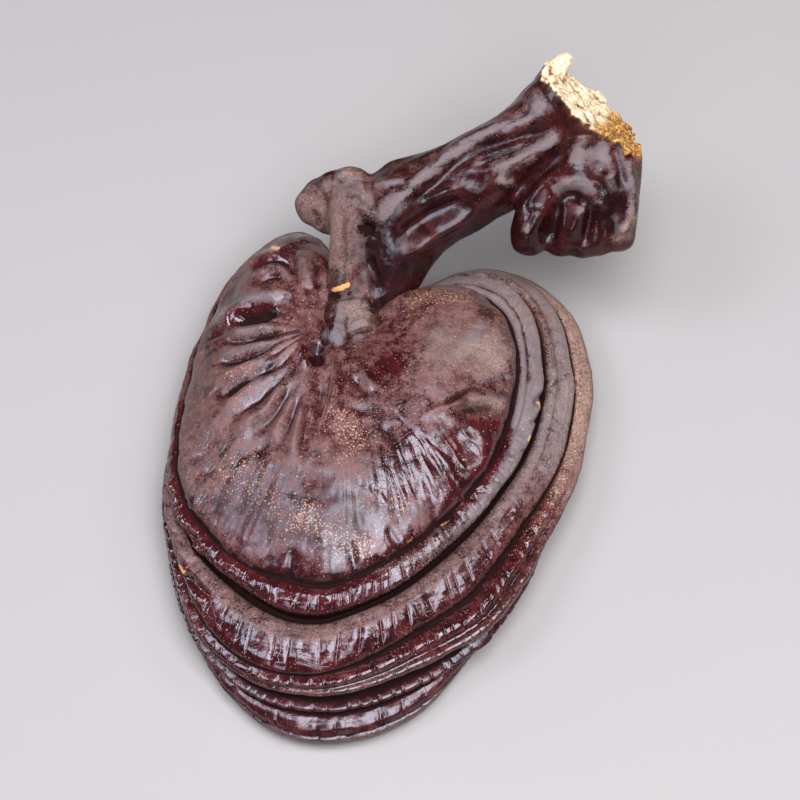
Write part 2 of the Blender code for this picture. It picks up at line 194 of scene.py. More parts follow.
# Zones: the growth coordinates where each begins and ends to rise, and begins and ends to fall.
NARROW_BAND = (1.0, 1.12, 1.9, 1.97)
NARROW_RED = (1.28, 1.34, 1.38, 1.46)
BROAD_RED = (1.97, 2.03, 2.28, 2.4)
BROAD_TOP = (2.03, 2.12, 2.3, 2.5)
BROAD_CREST = (2.35, 2.5, 2.9, 3.0)
RIM = (3.0, 3.1, 3.9, 4.3)
LIP = (3.8, 3.9, 4.1, 4.2)
LAST_LINE = (5.76, 5.84, 5.92, 6.0)
# Painted shade, black lines in the grooves: growth coordinate, half width there, depth of the black.
BLACK_LINES = ((1.02, 0.035, 0.55), (2.0, 0.045, 1.0), (3.0, 0.035, 0.6), (5.12, 0.05, 0.5))
FRONT_BLACK_LINES = ((4.46, 0.14, 0.8), (3.74, 0.04, 0.35))
SIDE_BLACK_LINES = ((1.02, 0.04, 0.45), (4.3, 0.3, 0.6))
# Where the painted shade is deeper than this, a matt black painted shade material shows instead of the
# lacquer.
GROOVE_DARKNESS = 0.72

# ---------------------------------------------------------------- colours; pairs run from dark to pale
CRUST = (0.018, 0.002, 0.003), (0.080, 0.007, 0.009)
BARK = (0.009, 0.002, 0.002), (0.050, 0.007, 0.007)
DUST = (0.076, 0.020, 0.016), (0.165, 0.071, 0.052)
# the grey of dust, also used as painted sheen and painted highlights
GREY_DUST_AND_SHEEN = (0.178, 0.138, 0.126)
TAN = (0.175, 0.09, 0.056), (0.37, 0.24, 0.165)
SPECK = (0.58, 0.32, 0.16)
ORANGE = (0.45, 0.16, 0.03), (0.95, 0.55, 0.20)
BLACK = (0.012, 0.006, 0.007)
CREAM_FLESH = (0.60, 0.38, 0.15), (0.88, 0.76, 0.50)
AMBER_FLESH = (0.16, 0.055, 0.012), (0.70, 0.38, 0.09)
# painted shade in the hollows of the torn flesh
FLESH_PIT_SHADE = (0.22, 0.09, 0.025)
FLESH_BORDER = (0.40, 0.17, 0.05)
# painted shade: the matt black at the bottom of the grooves
PAINTED_GROOVE_SHADE = (0.010, 0.003, 0.003), (0.022, 0.008, 0.006)
PORE_LAYER = (0.20, 0.11, 0.055), (0.46, 0.31, 0.19)
PORE_HOLES = (0.06, 0.03, 0.015)


# ================================================================ noise and lines
def gradient_noise(points, seed):
    """Smooth noise of about -1 to 1 with features one unit across, at points [n, 3]."""
    draw = np.random.RandomState(seed)
    table = draw.permutation(256)
    lean = draw.normal(size=(256, 3))
    lean /= np.linalg.norm(lean, axis=1, keepdims=True)
    cell = np.floor(points).astype(int)
    part = points - cell
    ease = part**3 * (part * (part * 6 - 15) + 10)
    total = np.zeros(len(points))
    for corner in np.ndindex(2, 2, 2):
        at = cell + np.array(corner)
        pick = table[(table[(table[at[:, 0] & 255] + at[:, 1]) & 255] + at[:, 2]) & 255]
        weight = np.prod(np.where(np.array(corner) == 1, ease, 1 - ease), axis=1)
        total += weight * (lean[pick] * (part - np.array(corner))).sum(axis=1)
    return total * 1.7


def fractal(points, size, octaves, seed):
    """Layers of noise, the coarsest with features of the given size, each half as strong as the last."""
    flat = points.reshape(-1, 3) / size
    total = np.zeros(len(flat))
    for k in range(octaves):
        total += 0.5**k * gradient_noise(flat * 2.0**k, seed + k)
    return total.reshape(points.shape[:-1])


def smoothstep(low, high, value):
    share = np.clip((value - low) / (high - low), 0, 1)
    return share * share * (3 - 2 * share)


def hill(value, middle, half, power=2):
    """1 at the middle, falling off to both sides."""
    return np.exp(-(((value - middle) / half) ** power))


def plateau(value, rise, risen, fall, fallen):
    """0 to 1 and back to 0."""
    return smoothstep(rise, risen, value) * (1 - smoothstep(fall, fallen, value))


def stacked(x, y, z):
    """Points [..., xyz] from grids or numbers that spread over one another."""
    return np.stack(np.broadcast_arrays(x, y, z), axis=-1)


def angle_between(bearings, middle):
    return np.abs((bearings - middle + 180) % 360 - 180)


def sector(bearings, middle, full, gone):
    return 1 - smoothstep(full, gone, angle_between(bearings, middle))


def rounded(line):
    """A polyline with its corners cut twice."""
    line = np.array(line, float)
    for _ in range(2):
        cut = np.empty((2 * len(line) - 2, line.shape[1]))
        cut[0::2] = line[:-1] * 0.75 + line[1:] * 0.25
        cut[1::2] = line[:-1] * 0.25 + line[1:] * 0.75
        line = np.concatenate([line[:1], cut, line[-1:]])
    return line


def nearest_on(line, points):
    """Each point's distance from a polyline, the line's length, the run along it, and the offset from it."""
    steps = np.linalg.norm(np.diff(line, axis=0), axis=1)
    start = np.append(0, np.cumsum(steps))
    best = np.full(len(points), np.inf)
    run = np.zeros(len(points))
    offset = np.zeros(points.shape)
    for k in range(len(line) - 1):
        if steps[k] < 1e-6:
            continue
        ahead = (line[k + 1] - line[k]) / steps[k]
        part = np.clip((points - line[k]) @ ahead, 0, steps[k])
        away = points - line[k] - part[:, None] * ahead
        gap = np.linalg.norm(away, axis=1)
        closer = gap < best
        best[closer], run[closer], offset[closer] = gap[closer], start[k] + part[closer], away[closer]
    return best, start[-1], run, offset


def seen_at(points):
    """Where points show in the fixed view, in pixels."""
    tilt = math.radians(VIEW_ELEVATION)
    offset = points - np.array(VIEW_PLACE)
    depth = offset @ np.array((0, math.cos(tilt), -math.sin(tilt)))
    right = offset[..., 0]
    up = offset @ np.array((0, math.sin(tilt), math.cos(tilt)))
    across, down = VIEW_FOCAL * right / depth, VIEW_FOCAL * up / depth
    return np.stack([VIEW_MIDDLE + across, VIEW_MIDDLE - down], axis=-1)


def towards_view(points, normals):
    """How squarely each point of the skin faces the fixed view."""
    to_view = np.array(VIEW_PLACE) - points
    return (to_view * normals).sum(axis=-1) / np.linalg.norm(to_view, axis=-1)


def stroke_weight(pixels, line, width, taper):
    """0 to 1 by nearness to a polyline, tapering off over a share of its length at both ends."""
    line = rounded(line)
    weight = np.zeros(len(pixels))
    margin = width * 2.6
    inside = (pixels > line.min(axis=0) - margin) & (pixels < line.max(axis=0) + margin)
    near = np.nonzero(inside.all(axis=1))[0]
    gap, length, run, _ = nearest_on(line, pixels[near])
    ends = 1.0
    if taper:
        along = run / length
        ends = smoothstep(0, taper, along) * smoothstep(0, taper, 1 - along)
    weight[near] = hill(gap, 0, width) * ends
    return weight


def drawn(pixels, facing, strokes, taper):
    """The sum of strokes on the faces that the fixed view sees."""
    flat = pixels.reshape(-1, 2)
    total = np.zeros(len(flat))
    for amount, width, *line in strokes:
        total += amount * stroke_weight(flat, np.reshape(line, (-1, 2)), width, taper)
    return total.reshape(pixels.shape[:-1]) * smoothstep(0.05, 0.3, facing)


# ================================================================ the cap
def around(rows, soften, bearings):
    """Columns of a bearing table at some bearings, rounded off over the softening angle."""
    table = np.array(rows, float)
    fine = HALF_DEGREES[:-1]
    offset = np.minimum(fine, 360 - fine)
    kernel = np.exp(-0.5 * (offset / soften) ** 2)
    weight = np.fft.fft(kernel / kernel.sum())
    lines = []
    for values in table.T[1:]:
        line = np.interp(fine, table[:, 0], values, period=360)
        line = np.real(np.fft.ifft(np.fft.fft(line) * weight))
        lines.append(np.interp(np.asarray(bearings) % 360, HALF_DEGREES, np.append(line, line[0])))
    return np.array(lines)


def reaches(bearings):
    return around(SECTIONS, REACH_SOFTENING, bearings)


def line_heights(bearings):
    return around(LINE_HEIGHTS, HEIGHT_SOFTENING, bearings)


def laid_round(bearings, reach, z):
    """Points [bearing, row, xyz] at a reach and a height about the umbo."""
    angle = np.radians(bearings)[:, None]
    return stacked(reach * np.cos(angle), reach * np.sin(angle), z)


def spread_bearings(count):
    """Bearings, twice as close at the broad front, their runs along the lower edge, and its length."""
    reach = reaches(HALF_DEGREES)[5]
    x, y = reach * np.cos(np.radians(HALF_DEGREES)), reach * np.sin(np.radians(HALF_DEGREES))
    steps = np.hypot(np.diff(x), np.diff(y))
    length = np.append(0, np.cumsum(steps))
    closeness = 1 + FRONT_CLOSENESS * sector(HALF_DEGREES[1:], *CLOSE_ROWS)
    paced = np.append(0, np.cumsum(steps * closeness))
    bearings = np.interp(np.arange(count) * paced[-1] / count, paced, HALF_DEGREES)
    return bearings, np.interp(bearings, HALF_DEGREES, length), length[-1]


def growth_rows():
    rows = []
    for zone, count in enumerate(ROWS_PER_ZONE):
        rows += list(zone + (np.arange(count) + 1) / count)
    return np.array(rows)


def smooth_top(bearings, growth):
    """The cap's upper face, [bearing, growth, xyz], with its swellings but no relief."""
    reach_lines = reaches(bearings)
    height_lines = line_heights(bearings)
    whole = np.arange(1, 7)
    share = np.minimum(growth, 1.0)
    rise = (1 - share**DOME_SHAPE[0]) ** DOME_SHAPE[1]
    reach = np.empty((len(bearings), len(growth)))
    z = np.empty_like(reach)
    for i in range(len(bearings)):
        outer = np.interp(growth, whole, reach_lines[:, i])
        reach[i] = np.where(growth < 1, reach_lines[0, i] * share, outer)
        below = np.interp(growth, whole, height_lines[:, i])
        z[i] = below + (CROWN_HEIGHT - height_lines[0, i]) * rise
    points = laid_round(bearings, reach, z)
    x, y = points[..., 0], points[..., 1]
    fade = np.clip((1.0 - growth) * 4, 0, 1)
    for cx, cy, radius, height in SWELLINGS:
        points[..., 2] += height * fade * np.exp(-((x - cx) ** 2 + (y - cy) ** 2) / radius**2)
    return points


def grid_normals(points):
    """Outward unit normals of a grid that closes on itself along its first axis."""
    along = np.roll(points, -1, axis=0) - np.roll(points, 1, axis=0)
    down = np.gradient(points, axis=1)
    normals = np.cross(down, along)
    return normals / np.maximum(np.linalg.norm(normals, axis=-1, keepdims=True), 1e-9)


def section_length(points):
    """Length of each section from its innermost point."""
    steps = np.linalg.norm(np.diff(points, axis=1), axis=-1)
    return np.concatenate([np.zeros((len(points), 1)), np.cumsum(steps, axis=1)], axis=1)


def zone_widths(length, growth):
    width = np.empty_like(length)
    for zone in range(6):
        inside = np.nonzero((growth > zone) & (growth <= zone + 1))[0]
        first = max(inside[0] - 1, 0)
        width[:, inside] = (length[:, inside[-1]] - length[:, first])[:, None]
    return width


# Relief across the growth lines as pairs of growth coordinate and offset, at the broad front and the side.
FRONT_RELIEF = (
    0,0, 0.8,0, 0.93,0.45, 0.975,0.2, 1,-1, 1.04,-1.3, 1.12,-0.3, 1.3,0.8, 1.55,1.2, 1.8,0.8, 1.9,0,
    1.96,-2, 2,-3.9, 2.03,-3.6, 2.08,-1.5, 2.2,0.1, 2.36,1.55, 2.6,1.4, 2.82,1, 2.92,0.4, 3,-0.9,
    3.06,-0.6, 3.2,0.5, 3.38,1.5, 3.54,1.7, 3.66,1, 3.74,0, 3.82,0.4, 3.96,1, 4.1,0.7, 4.25,-0.4, 4.38,-2,
    4.46,-2.3, 4.54,-1.6, 4.66,0, 4.82,1.3, 4.95,1.2, 5.04,0.4, 5.12,-0.6, 5.2,0.1, 5.4,0.7, 5.6,0.8,
    5.76,0.4, 5.84,0.1, 5.92,0.5, 6,0,
)
SIDE_RELIEF = (
    0,0, 0.84,0, 0.95,0.4, 0.985,-0.2, 1,-1.3, 1.05,-1.4, 1.11,-0.3, 1.2,0.35, 1.3,0.3, 1.36,-0.35, 1.42,0,
    1.6,0.6, 1.8,0.8, 1.9,0.5, 1.95,-0.6, 2,-3.8, 2.04,-3.2, 2.1,-0.8, 2.2,0.5, 2.32,0.7, 2.4,0.3,
    2.46,0.5, 2.7,1, 2.87,0.9, 2.95,0.25, 3,-0.6, 3.05,-0.3, 3.12,0.3, 3.4,0.6, 3.8,0.6, 4,0.2, 4.3,-0.9,
    4.65,-1.5, 5,-1, 5.3,0.2, 5.6,0.4, 6,0,
)

# Rows of beads: growth coordinate and half width there, spacing in mm, height at the front and the side.
BEADS = (
    (1.55, 0.34, 4.3, 0.60, 0.10),
    (2.58, 0.30, 7.2, 0.50, 0.14),
    (3.42, 0.26, 4.4, 0.85, 0.08),
    (4.00, 0.12, 5.6, 0.25, 0.06),
    (4.84, 0.20, 4.3, 0.75, 0.10),
    (5.48, 0.26, 8.6, 0.40, 0.15),
)

# Strokes on the cap. Each is (amount, width, x,y, x,y, ...) in pixels of the fixed view; relief is in mm.
NARROW_BAND_LINE = (305,322, 296,356, 285,380, 273,401, 258,424, 242,440)
CAP_STROKES = {
    "relief": (
        # the furrow slot of the left lobe and its lips
        (-3.2, 4, 70,279, 80,274, 92,271, 108,270), (1.5, 5, 62,286, 66,276, 78,265, 95,259, 114,258),
        (1.3, 4.5, 68,289, 82,284, 104,279),
        # pleats that fan out from beside the umbo
        (-1.3, 3.2, 60,292, 84,291, 106,287), (1.1, 3.6, 56,303, 80,299, 106,291),
        (-1.3, 3.2, 52,313, 78,306, 108,296), (1.1, 3.6, 50,326, 78,314, 108,301),
        (-1.4, 3.4, 52,338, 80,322, 112,305), (1.2, 3.6, 58,348, 84,329, 114,309),
        (-1.4, 3.4, 68,354, 90,336, 116,313), (1.2, 3.8, 76,362, 98,341, 119,317),
        (-1.4, 3.4, 86,366, 104,346, 121,321), (1.1, 3.6, 96,372, 110,351, 123,326),
        (-1.2, 3.2, 105,378, 116,354, 126,328), (1, 3.6, 116,384, 122,358, 129,332),
        (-1, 3.2, 124,388, 128,362, 132,336),
        # curled ridges at the back of the left lobe
        (1, 2.6, 86,246, 93,237, 104,233, 113,238, 117,248), (-1, 2.4, 92,250, 98,243, 106,241, 111,247),
        (0.9, 2.6, 79,238, 88,227, 101,222, 113,226),
        (-1.1, 2.6, 83,243, 91,232, 104,227, 115,232, 120,246), (-1.2, 2.8, 117,219, 120,234, 124,252),
        (1.8, 6, 125,218, 127,234, 130,252), (-1.2, 2.8, 135,222, 136,240, 139,256),
        (1, 3, 98,262, 110,252, 120,258),
        # the hollow beside the umbo, with the boss and the vein beside it
        (-3.6, 5, 134,291, 138,301, 137,313), (1.6, 3, 127,287, 126,300, 129,316),
        (0.9, 1.3, 143,290, 149,300, 150,312, 148,330, 142,348, 137,361),
        (-0.5, 1.6, 147,296, 154,306, 154,320, 151,336), (-0.8, 2.4, 139,312, 141,330, 136,350, 130,370),
        # wrinkles of the abraded patch
        (0.5, 1.8, 158,270, 168,276, 180,278), (-0.5, 1.6, 160,277, 170,282, 181,285),
        (0.5, 1.8, 160,285, 171,288, 180,292), (1, 3.5, 170,313, 176,320, 182,330),
        (-0.8, 3, 165,318, 170,327, 176,336),
        # the fold across the right lobe
        (-1.5, 2.2, 231,344, 241,338, 250,333, 262,325),
        (1, 2.8, 214,352, 226,346, 236,343, 252,338, 270,336, 287,339),
        (-0.7, 2.4, 236,349, 252,345, 270,343, 286,346),
        # long fine wrinkles
        (-0.18, 1.5, 182,330, 196,346, 214,364, 228,380, 238,404),
        (-0.16, 1.4, 204,352, 220,366, 232,376, 246,386), (-0.16, 1.4, 196,360, 206,384, 214,404),
        (-0.16, 1.5, 166,340, 178,366, 184,396, 186,424), (-0.14, 1.5, 150,352, 158,384, 162,420, 160,452),
        (0.16, 1.7, 212,372, 224,392, 232,414), (0.16, 1.7, 222,366, 236,384, 246,402),
        (-0.16, 1.5, 228,356, 243,372, 254,392), (-0.14, 1.5, 240,360, 254,372, 264,384),
        (0.18, 1.9, 200,386, 210,406, 216,428), (-0.18, 1.7, 193,388, 202,410, 206,434),
        # lobes of the disc's own edge
        (-0.8, 4, 120,452, 116,468, 115,480), (-0.7, 4, 160,440, 165,460, 168,474),
        (0.7, 7, 140,448, 141,466, 141,480), (-0.5, 3.4, 190,432, 198,448, 204,458),
        # broken place in the narrow band, and the crack across the outer one
        (-1.6, 2.2, 304,342, 309,336, 314,331), (-1.2, 1.6, 300,357, 308,352, 314,350),
        (0.8, 2, 306,347, 311,343, 315,340), (-0.9, 1.2, 315,329, 324,323, 336,315),
        # bumps and dents of the bands at the lower right
        (-1.2, 3, 266,404, 262,412, 256,418), (0.9, 3.4, 254,412, 250,420, 247,427),
        (-0.9, 2.6, 243,424, 240,432, 236,438), (0.8, 3, 233,434, 229,441, 225,447),
        (-0.9, 2.4, 288,420, 283,428, 277,434), (0.7, 2.6, 282,414, 276,423, 270,431),
        (-0.8, 2.2, 271,452, 266,462, 260,470),
        # the side lump between the groove and the rim
        (1.6, 8, 37,448, 46,462), (-1.5, 3, 30,434, 42,446, 54,464), (-1.4, 3, 34,470, 44,482, 58,494),
    ),
    # where the disc is creased into small blocks
    "creased": (
        (1, 18, 228,352, 210,380, 184,410, 168,430), (0.7, 12, 268,370, 250,396, 226,416),
    ),
    "dust_and_sheen": (
        (0.75, 6, *NARROW_BAND_LINE), (0.5, 4.5, 150,462, 175,470, 205,463, 230,449),
        (0.9, 26, 228,282, 262,300, 272,318), (-0.7, 15, 222,362, 202,386, 180,416),
        (-0.55, 20, 50,400, 90,446, 140,462, 190,456, 225,436), (-0.3, 24, 150,390, 120,430),
        (0.5, 16, 222,300, 240,270, 262,276),
        (-0.55, 6, 206,276, 216,263, 233,256, 252,257, 270,268, 282,288, 286,310, 285,330),
        (-1.1, 20, 272,352, 264,376, 246,400, 224,424), (-0.9, 12, 284,350, 270,384, 246,414),
        (-0.6, 12, 240,362, 236,388, 216,408), (-0.35, 14, 205,372, 216,398, 222,420),
        (0.25, 14, 96,340, 110,372, 124,408), (0.2, 24, 60,340, 70,390, 96,440),
        (-0.3, 7, 150,318, 166,340, 170,372), (0.25, 12, 160,350, 176,392, 180,430),
        (-0.3, 8, 186,300, 196,308, 206,316), (0.5, 9, 160,276, 172,290),
        (-0.5, 8, 176,322, 190,312, 204,306), (-0.4, 7, 130,296, 136,312),
        (-0.4, 9, 60,230, 92,214, 116,212), (-0.35, 10, 50,300, 74,252),
        (-0.45, 16, 78,236, 100,226, 116,232), (0.2, 12, 60,330, 96,318),
        (-0.3, 10, 30,340, 26,400, 34,440), (-0.9, 3.5, 62,283, 68,276, 80,270, 96,266, 108,267),
        (-0.9, 3, 126,290, 126,302, 129,316), (-0.9, 4, 149,283, 156,295), (-0.5, 3, 62,345, 57,353),
        (-0.6, 3, 68,372, 61,382), (-0.5, 3, 98,383, 100,390), (-0.4, 4, 80,378, 74,392, 70,408),
    ),
    "grey_and_sheen": (
        (0.8, 7, *NARROW_BAND_LINE), (0.8, 6, 76,263, 92,259, 112,258), (0.6, 7, 74,290, 104,284),
        (0.5, 9, 60,306, 100,294), (0.5, 12, 84,330, 112,318, 124,340), (0.3, 6, 126,224, 130,246),
        (0.7, 18, 250,288, 276,306, 280,326), (0.45, 24, 224,284, 250,308), (0.6, 7, 252,338, 284,340),
        (0.7, 12, 158,272, 176,290),
    ),
    "tan": (
        (0.16, 34, 236,214, 284,240, 296,290), (0.6, 14, 260,290, 278,318), (0.3, 20, 226,290, 250,310),
        (0.35, 5, 252,338, 284,341), (0.3, 5, 206,268, 222,256, 250,258),
    ),
    "matt_and_shade": (
        (1, 20, 60,400, 96,434, 140,440, 184,434), (0.6, 16, 150,400, 140,440),
    ),
    "gloss": (
        (1, 5, 149,284, 156,294), (1, 4, 126,292, 127,304, 130,314),
        (1, 5, 62,284, 68,276, 80,269, 96,264, 110,264),
    ),
    "speck": (
        (0.8, 14, 148,340, 160,362, 176,378), (0.9, 16, 120,420, 150,446, 186,452),
        (0.6, 22, 60,380, 90,410, 130,440), (0.5, 14, 66,318, 90,312), (0.6, 8, 206,262, 240,256, 262,262),
        (0.5, 12, 190,400, 202,430), (0.5, 8, 180,470, 210,462, 236,444),
        (0.6, 8, 330,300, 338,360, 318,420, 290,460),
    ),
    "orange": (
        (1, 1.6, 234,433, 239,430), (0.9, 1.6, 209,447, 212,445), (0.9, 1.4, 300,369, 302,366),
        (1, 1.5, 312,314, 314,315), (0.9, 1.5, 309,339, 310,345), (0.8, 2.4, 101,219, 106,219),
        (0.8, 2, 32,467, 35,471),
    ),
}


def profile(growth, knots):
    """The relief at each growth coordinate, with its corners eased."""
    at, offsets = np.reshape(knots, (-1, 2)).T
    fine = np.linspace(0, 6, 1201)
    line = np.interp(fine, at, offsets)
    kernel = np.exp(-0.5 * (np.arange(-6, 7) / 2.0) ** 2)
    line = np.convolve(np.pad(line, 6, mode="edge"), kernel / kernel.sum(), mode="valid")
    return np.interp(growth, fine, line)


def pillows(run, spacing, seed, wander, across):
    """Beads with slightly domed tops between narrow creases, each at its own height and tilt."""
    phase = run / spacing + 0.8 * fractal(stacked(run, 0, wander), spacing * 2.6, 2, seed)
    pick = np.floor(phase).astype(int) % 512
    off = np.abs(2 * (phase - np.floor(phase)) - 1)
    draw = np.random.RandomState(seed)
    lift, tilt, lean = draw.uniform(-1, 1, (3, 512))
    block = 1 - off**7
    top = 0.82 * block + 0.18 * (1 - off**2) - 0.6
    sway = 2 * (phase - np.floor(phase)) - 1
    return top + block * (0.24 * lift[pick] + 0.26 * tilt[pick] * across + 0.10 * lean[pick] * sway)


def tiles(run, length, wide, tall, seed):
    """Low tilted tiles between creases, in rows that don't line up, 0 to about 1."""
    draw = np.random.RandomState(seed)
    shift, lift, tilt, lean = draw.uniform(-1, 1, (4, 1024))
    spot = stacked(run / (2.5 * wide), length / (2.5 * tall), 0)
    level = length / tall + 0.9 * fractal(spot, 1.0, 2, seed)
    row = np.floor(level).astype(int)
    phase = run / wide + 7 * shift[row % 1024] + 0.9 * fractal(spot + 9, 1.0, 2, seed + 1)
    pick = (np.floor(phase).astype(int) * 31 + row * 17) % 1024
    sway, climb = 2 * (phase - np.floor(phase)) - 1, 2 * (level - row) - 1
    block = (1 - sway**8) * (1 - climb**8)
    return block * (0.5 + 0.3 * lift[pick] + 0.9 * tilt[pick] * climb + 0.8 * lean[pick] * sway)


def blurred(grid, along_columns, along_rows):
    """A running mean over a grid that closes on itself along its first axis."""
    wide, tall = 2 * along_columns + 1, 2 * along_rows + 1
    for _ in range(2):
        total = np.zeros_like(grid)
        for k in range(-along_columns, along_columns + 1):
            total += np.roll(grid, k, axis=0)
        padded = np.pad(total / wide, ((0, 0), (along_rows + 1, along_rows)), mode="edge")
        sums = np.cumsum(padded, axis=1)
        grid = (sums[:, tall:] - sums[:, :-tall]) / tall
    return grid


def cap_top():
    """The finished upper face and what its material needs to know about each point."""
    bearings, runs, edge_length = spread_bearings(COLUMNS)
    growth = growth_rows()
    smooth = smooth_top(bearings, growth)
    normals = grid_normals(smooth)
    length = section_length(smooth)
    widths = zone_widths(length, growth)
    pixels = seen_at(smooth)
    facing = towards_view(smooth, normals)
    theta, g = np.meshgrid(bearings, growth, indexing="ij")
    run = runs[:, None] + 0 * g
    turn = runs / edge_length * FULL_TURN
    ring_radius = np.linalg.norm(np.roll(smooth, -1, axis=0) - smooth, axis=2).sum(axis=0) / FULL_TURN
    grown = stacked(np.cos(turn)[:, None] * ring_radius, np.sin(turn)[:, None] * ring_radius, length)

    def sketched(name, taper=0.12):
        return drawn(pixels, facing, CAP_STROKES[name], taper)

    front, mid_front, lobe, rim_side, red_side = (
        sector(theta, *limits) for limits in (FRONT, MID_FRONT, LOBE, RIM_SIDE, RED_SIDE))
    side = 1 - front
    narrow = np.clip(widths / 6.0, 0.12, 1.0)

    relief = (front * profile(g, FRONT_RELIEF) + side * profile(g, SIDE_RELIEF)) * narrow
    for middle, half, spacing, at_front, at_side in BEADS:
        beads = pillows(run, spacing, int(middle * 100), length * 0.35, np.clip((g - middle) / half, -1, 1))
        share = mid_front if middle > 4 else front
        height = (share * at_front + (1 - share) * at_side) * narrow ** 0.5
        relief += hill(g, middle, half, 4) * beads * height

    # pleats of the disc
    x, y = smooth[..., 0] - PLEAT_FOCUS[0], smooth[..., 1] - PLEAT_FOCUS[1]
    angle, away = np.arctan2(y, x), np.hypot(x, y)
    inner = np.clip((away - 4) / 10, 0, 1) * np.clip((0.97 - g) / 0.35, 0, 1)
    fan = hill(angle_between(np.degrees(angle), PLEAT_MIDDLE), 0, 60.0)
    relief += 0.5 * fan * inner * np.sin(angle * 21 + 1.3 * np.sin(angle * 5))
    spoke = stacked(np.cos(angle) * 5, np.sin(angle) * 5, away / 22)
    relief += 0.9 * (0.3 + fan) * inner * fractal(spoke, 1.0, 2, 21)

    # shallow lobes along the disc's edge
    lobes = stacked(run / 8.0, 0, length / 20.0)
    relief += 0.35 * fractal(lobes, 1.0, 2, 88) * hill(g, 0.86, 0.2, 4)

    # creased blocks where the disc is glossy
    creased = np.clip(sketched("creased", 0.2), 0, 1) * smoothstep(1.0, 0.9, g)
    relief += 0.13 * creased * tiles(run, length, 8.0, 3.4, 25)

    # concentric growth lines, lumps and fine wrinkles
    banded = smoothstep(0.95, 1.1, g)
    relief += (0.03 + 0.04 * banded) * fractal(grown / (30, 30, 1.9), 1.0, 2, 31)
    relief += 0.015 * banded * fractal(grown / (1.3, 1.3, 7), 1.0, 2, 41)
    relief += 0.75 * fractal(smooth, 17.0, 2, 51) * np.clip(widths / 8, 0.4, 1)
    relief += 0.30 * fractal(smooth, 6.0, 2, 61) * np.clip(widths / 8, 0.5, 1)
    relief += 0.02 * banded * fractal(smooth, 1.6, 2, 71)
    relief += 0.6 * fractal(grown, 9.0, 2, 75) * hill(g, 1.55, 0.4, 4) * narrow
    relief += sketched("relief", 0.3)

    points = smooth + normals * relief[..., None]
    # the lower edge is scalloped in plan
    scallop = hill(g, 6.0, 0.5) * pillows(run, 5.2, 91, 0, 0) * (0.03 + 0.36 * mid_front)
    points += laid_round(bearings, scallop, 0)
    points[..., 2] = np.maximum(points[..., 2], 0.4)

    cavity = np.clip((relief - blurred(relief, 5, 6)) / 0.8, -1, 1)
    hollow = np.clip((relief - blurred(relief, 14, 14)) / 1.5, -1, 1)
    dust_and_sheen = np.full_like(relief, 0.50)
    tan, grey_and_sheen, painted_shade = np.zeros((3, *relief.shape))
    # the narrow band is dull and grey at the side
    in_band = plateau(g, *NARROW_BAND)
    dust_and_sheen += in_band * (lobe * 0.4 - front * 0.6)
    grey_and_sheen += in_band * (0.8 * lobe + 0.3 * front)
    # the broad band is dusty near the groove and glossy on its crest
    upper, crest = plateau(g, *BROAD_TOP), plateau(g, *BROAD_CREST)
    dust_and_sheen += upper * (0.25 - 0.1 * front) + crest * (lobe * 0.35 - front * 0.65)
    grey_and_sheen += upper * 0.35 * front
    # at the side the broad band's grey is partly a painted sheen
    grey_and_sheen += (upper + crest) * 0.85 * lobe * (1 - front)
    tan += (upper + crest) * 0.15 * lobe * (1 - front) + upper * 0.12 * front
    # behind the right lobe both bands show a red stripe
    dust_and_sheen -= (plateau(g, *BROAD_RED) + plateau(g, *NARROW_RED)) * red_side * 0.7
    # the rim is tan and dull at the side, and a thin tan lip at the front
    rim = plateau(g, *RIM)
    tan += sketched("tan")
    tan += rim * rim_side * 0.85 + plateau(g, *LIP) * front * 0.1
    dust_and_sheen += rim * (rim_side * 0.2 - front * 0.5)
    # the low bands are glossy and darker at the front, with a thin dusty lip and painted shade along the
    # lower edge
    low = smoothstep(4.3, 4.5, g)
    dust_and_sheen -= low * 0.6
    painted_shade += 0.2 * low * front
    tan += smoothstep(5.9, 5.97, g) * 0.35
    dust_and_sheen += smoothstep(5.84, 5.94, g) * 0.6
    painted_shade += plateau(g, *LAST_LINE) * 0.45
    # painted shade: the grooves are painted black and the hollows darker
    for share, lines in ((1, BLACK_LINES), (front, FRONT_BLACK_LINES), (side, SIDE_BLACK_LINES)):
        for middle, half, depth in lines:
            painted_shade += share * depth * hill(g, middle, half)
    painted_shade += np.clip(-cavity - 0.35, 0, 1) * 0.5 + np.clip(-hollow - 0.12, 0, 1) * 0.7
    dust_and_sheen += sketched("dust_and_sheen")
    dust_and_sheen += (0.25 * cavity + 0.3 * hollow) * (1 - 0.9 * front * banded)
    grey_and_sheen += sketched("grey_and_sheen")
    # strokes where the disc is rougher with less dust, and also painted darker as shade
    matt_and_shade = np.clip(sketched("matt_and_shade", 0.1), 0, 1)
    gloss = front * (0.5 * in_band + 0.4 * crest + 0.6 * rim - 0.3 * low) - 2.2 * matt_and_shade
    marks = {
        "dust_and_sheen": dust_and_sheen - 0.30 * matt_and_shade,
        "tan": tan,
        "grey_and_sheen": grey_and_sheen,
        # close to the umbo the painted shade never turns into the matt black groove shade
        "painted_shade": np.minimum(painted_shade + 0.30 * matt_and_shade, 0.55 + 2.0 * smoothstep(0.24, 0.3, g)),
        "speck": 0.05 + sketched("speck") - 0.3 * low,
        "orange": sketched("orange", 0.0),
        "crazed": np.clip(0.6 * banded + creased, 0, 1),
        "gloss": gloss + sketched("gloss", 0.1),
    }
    return bearings, growth, points, grown, marks


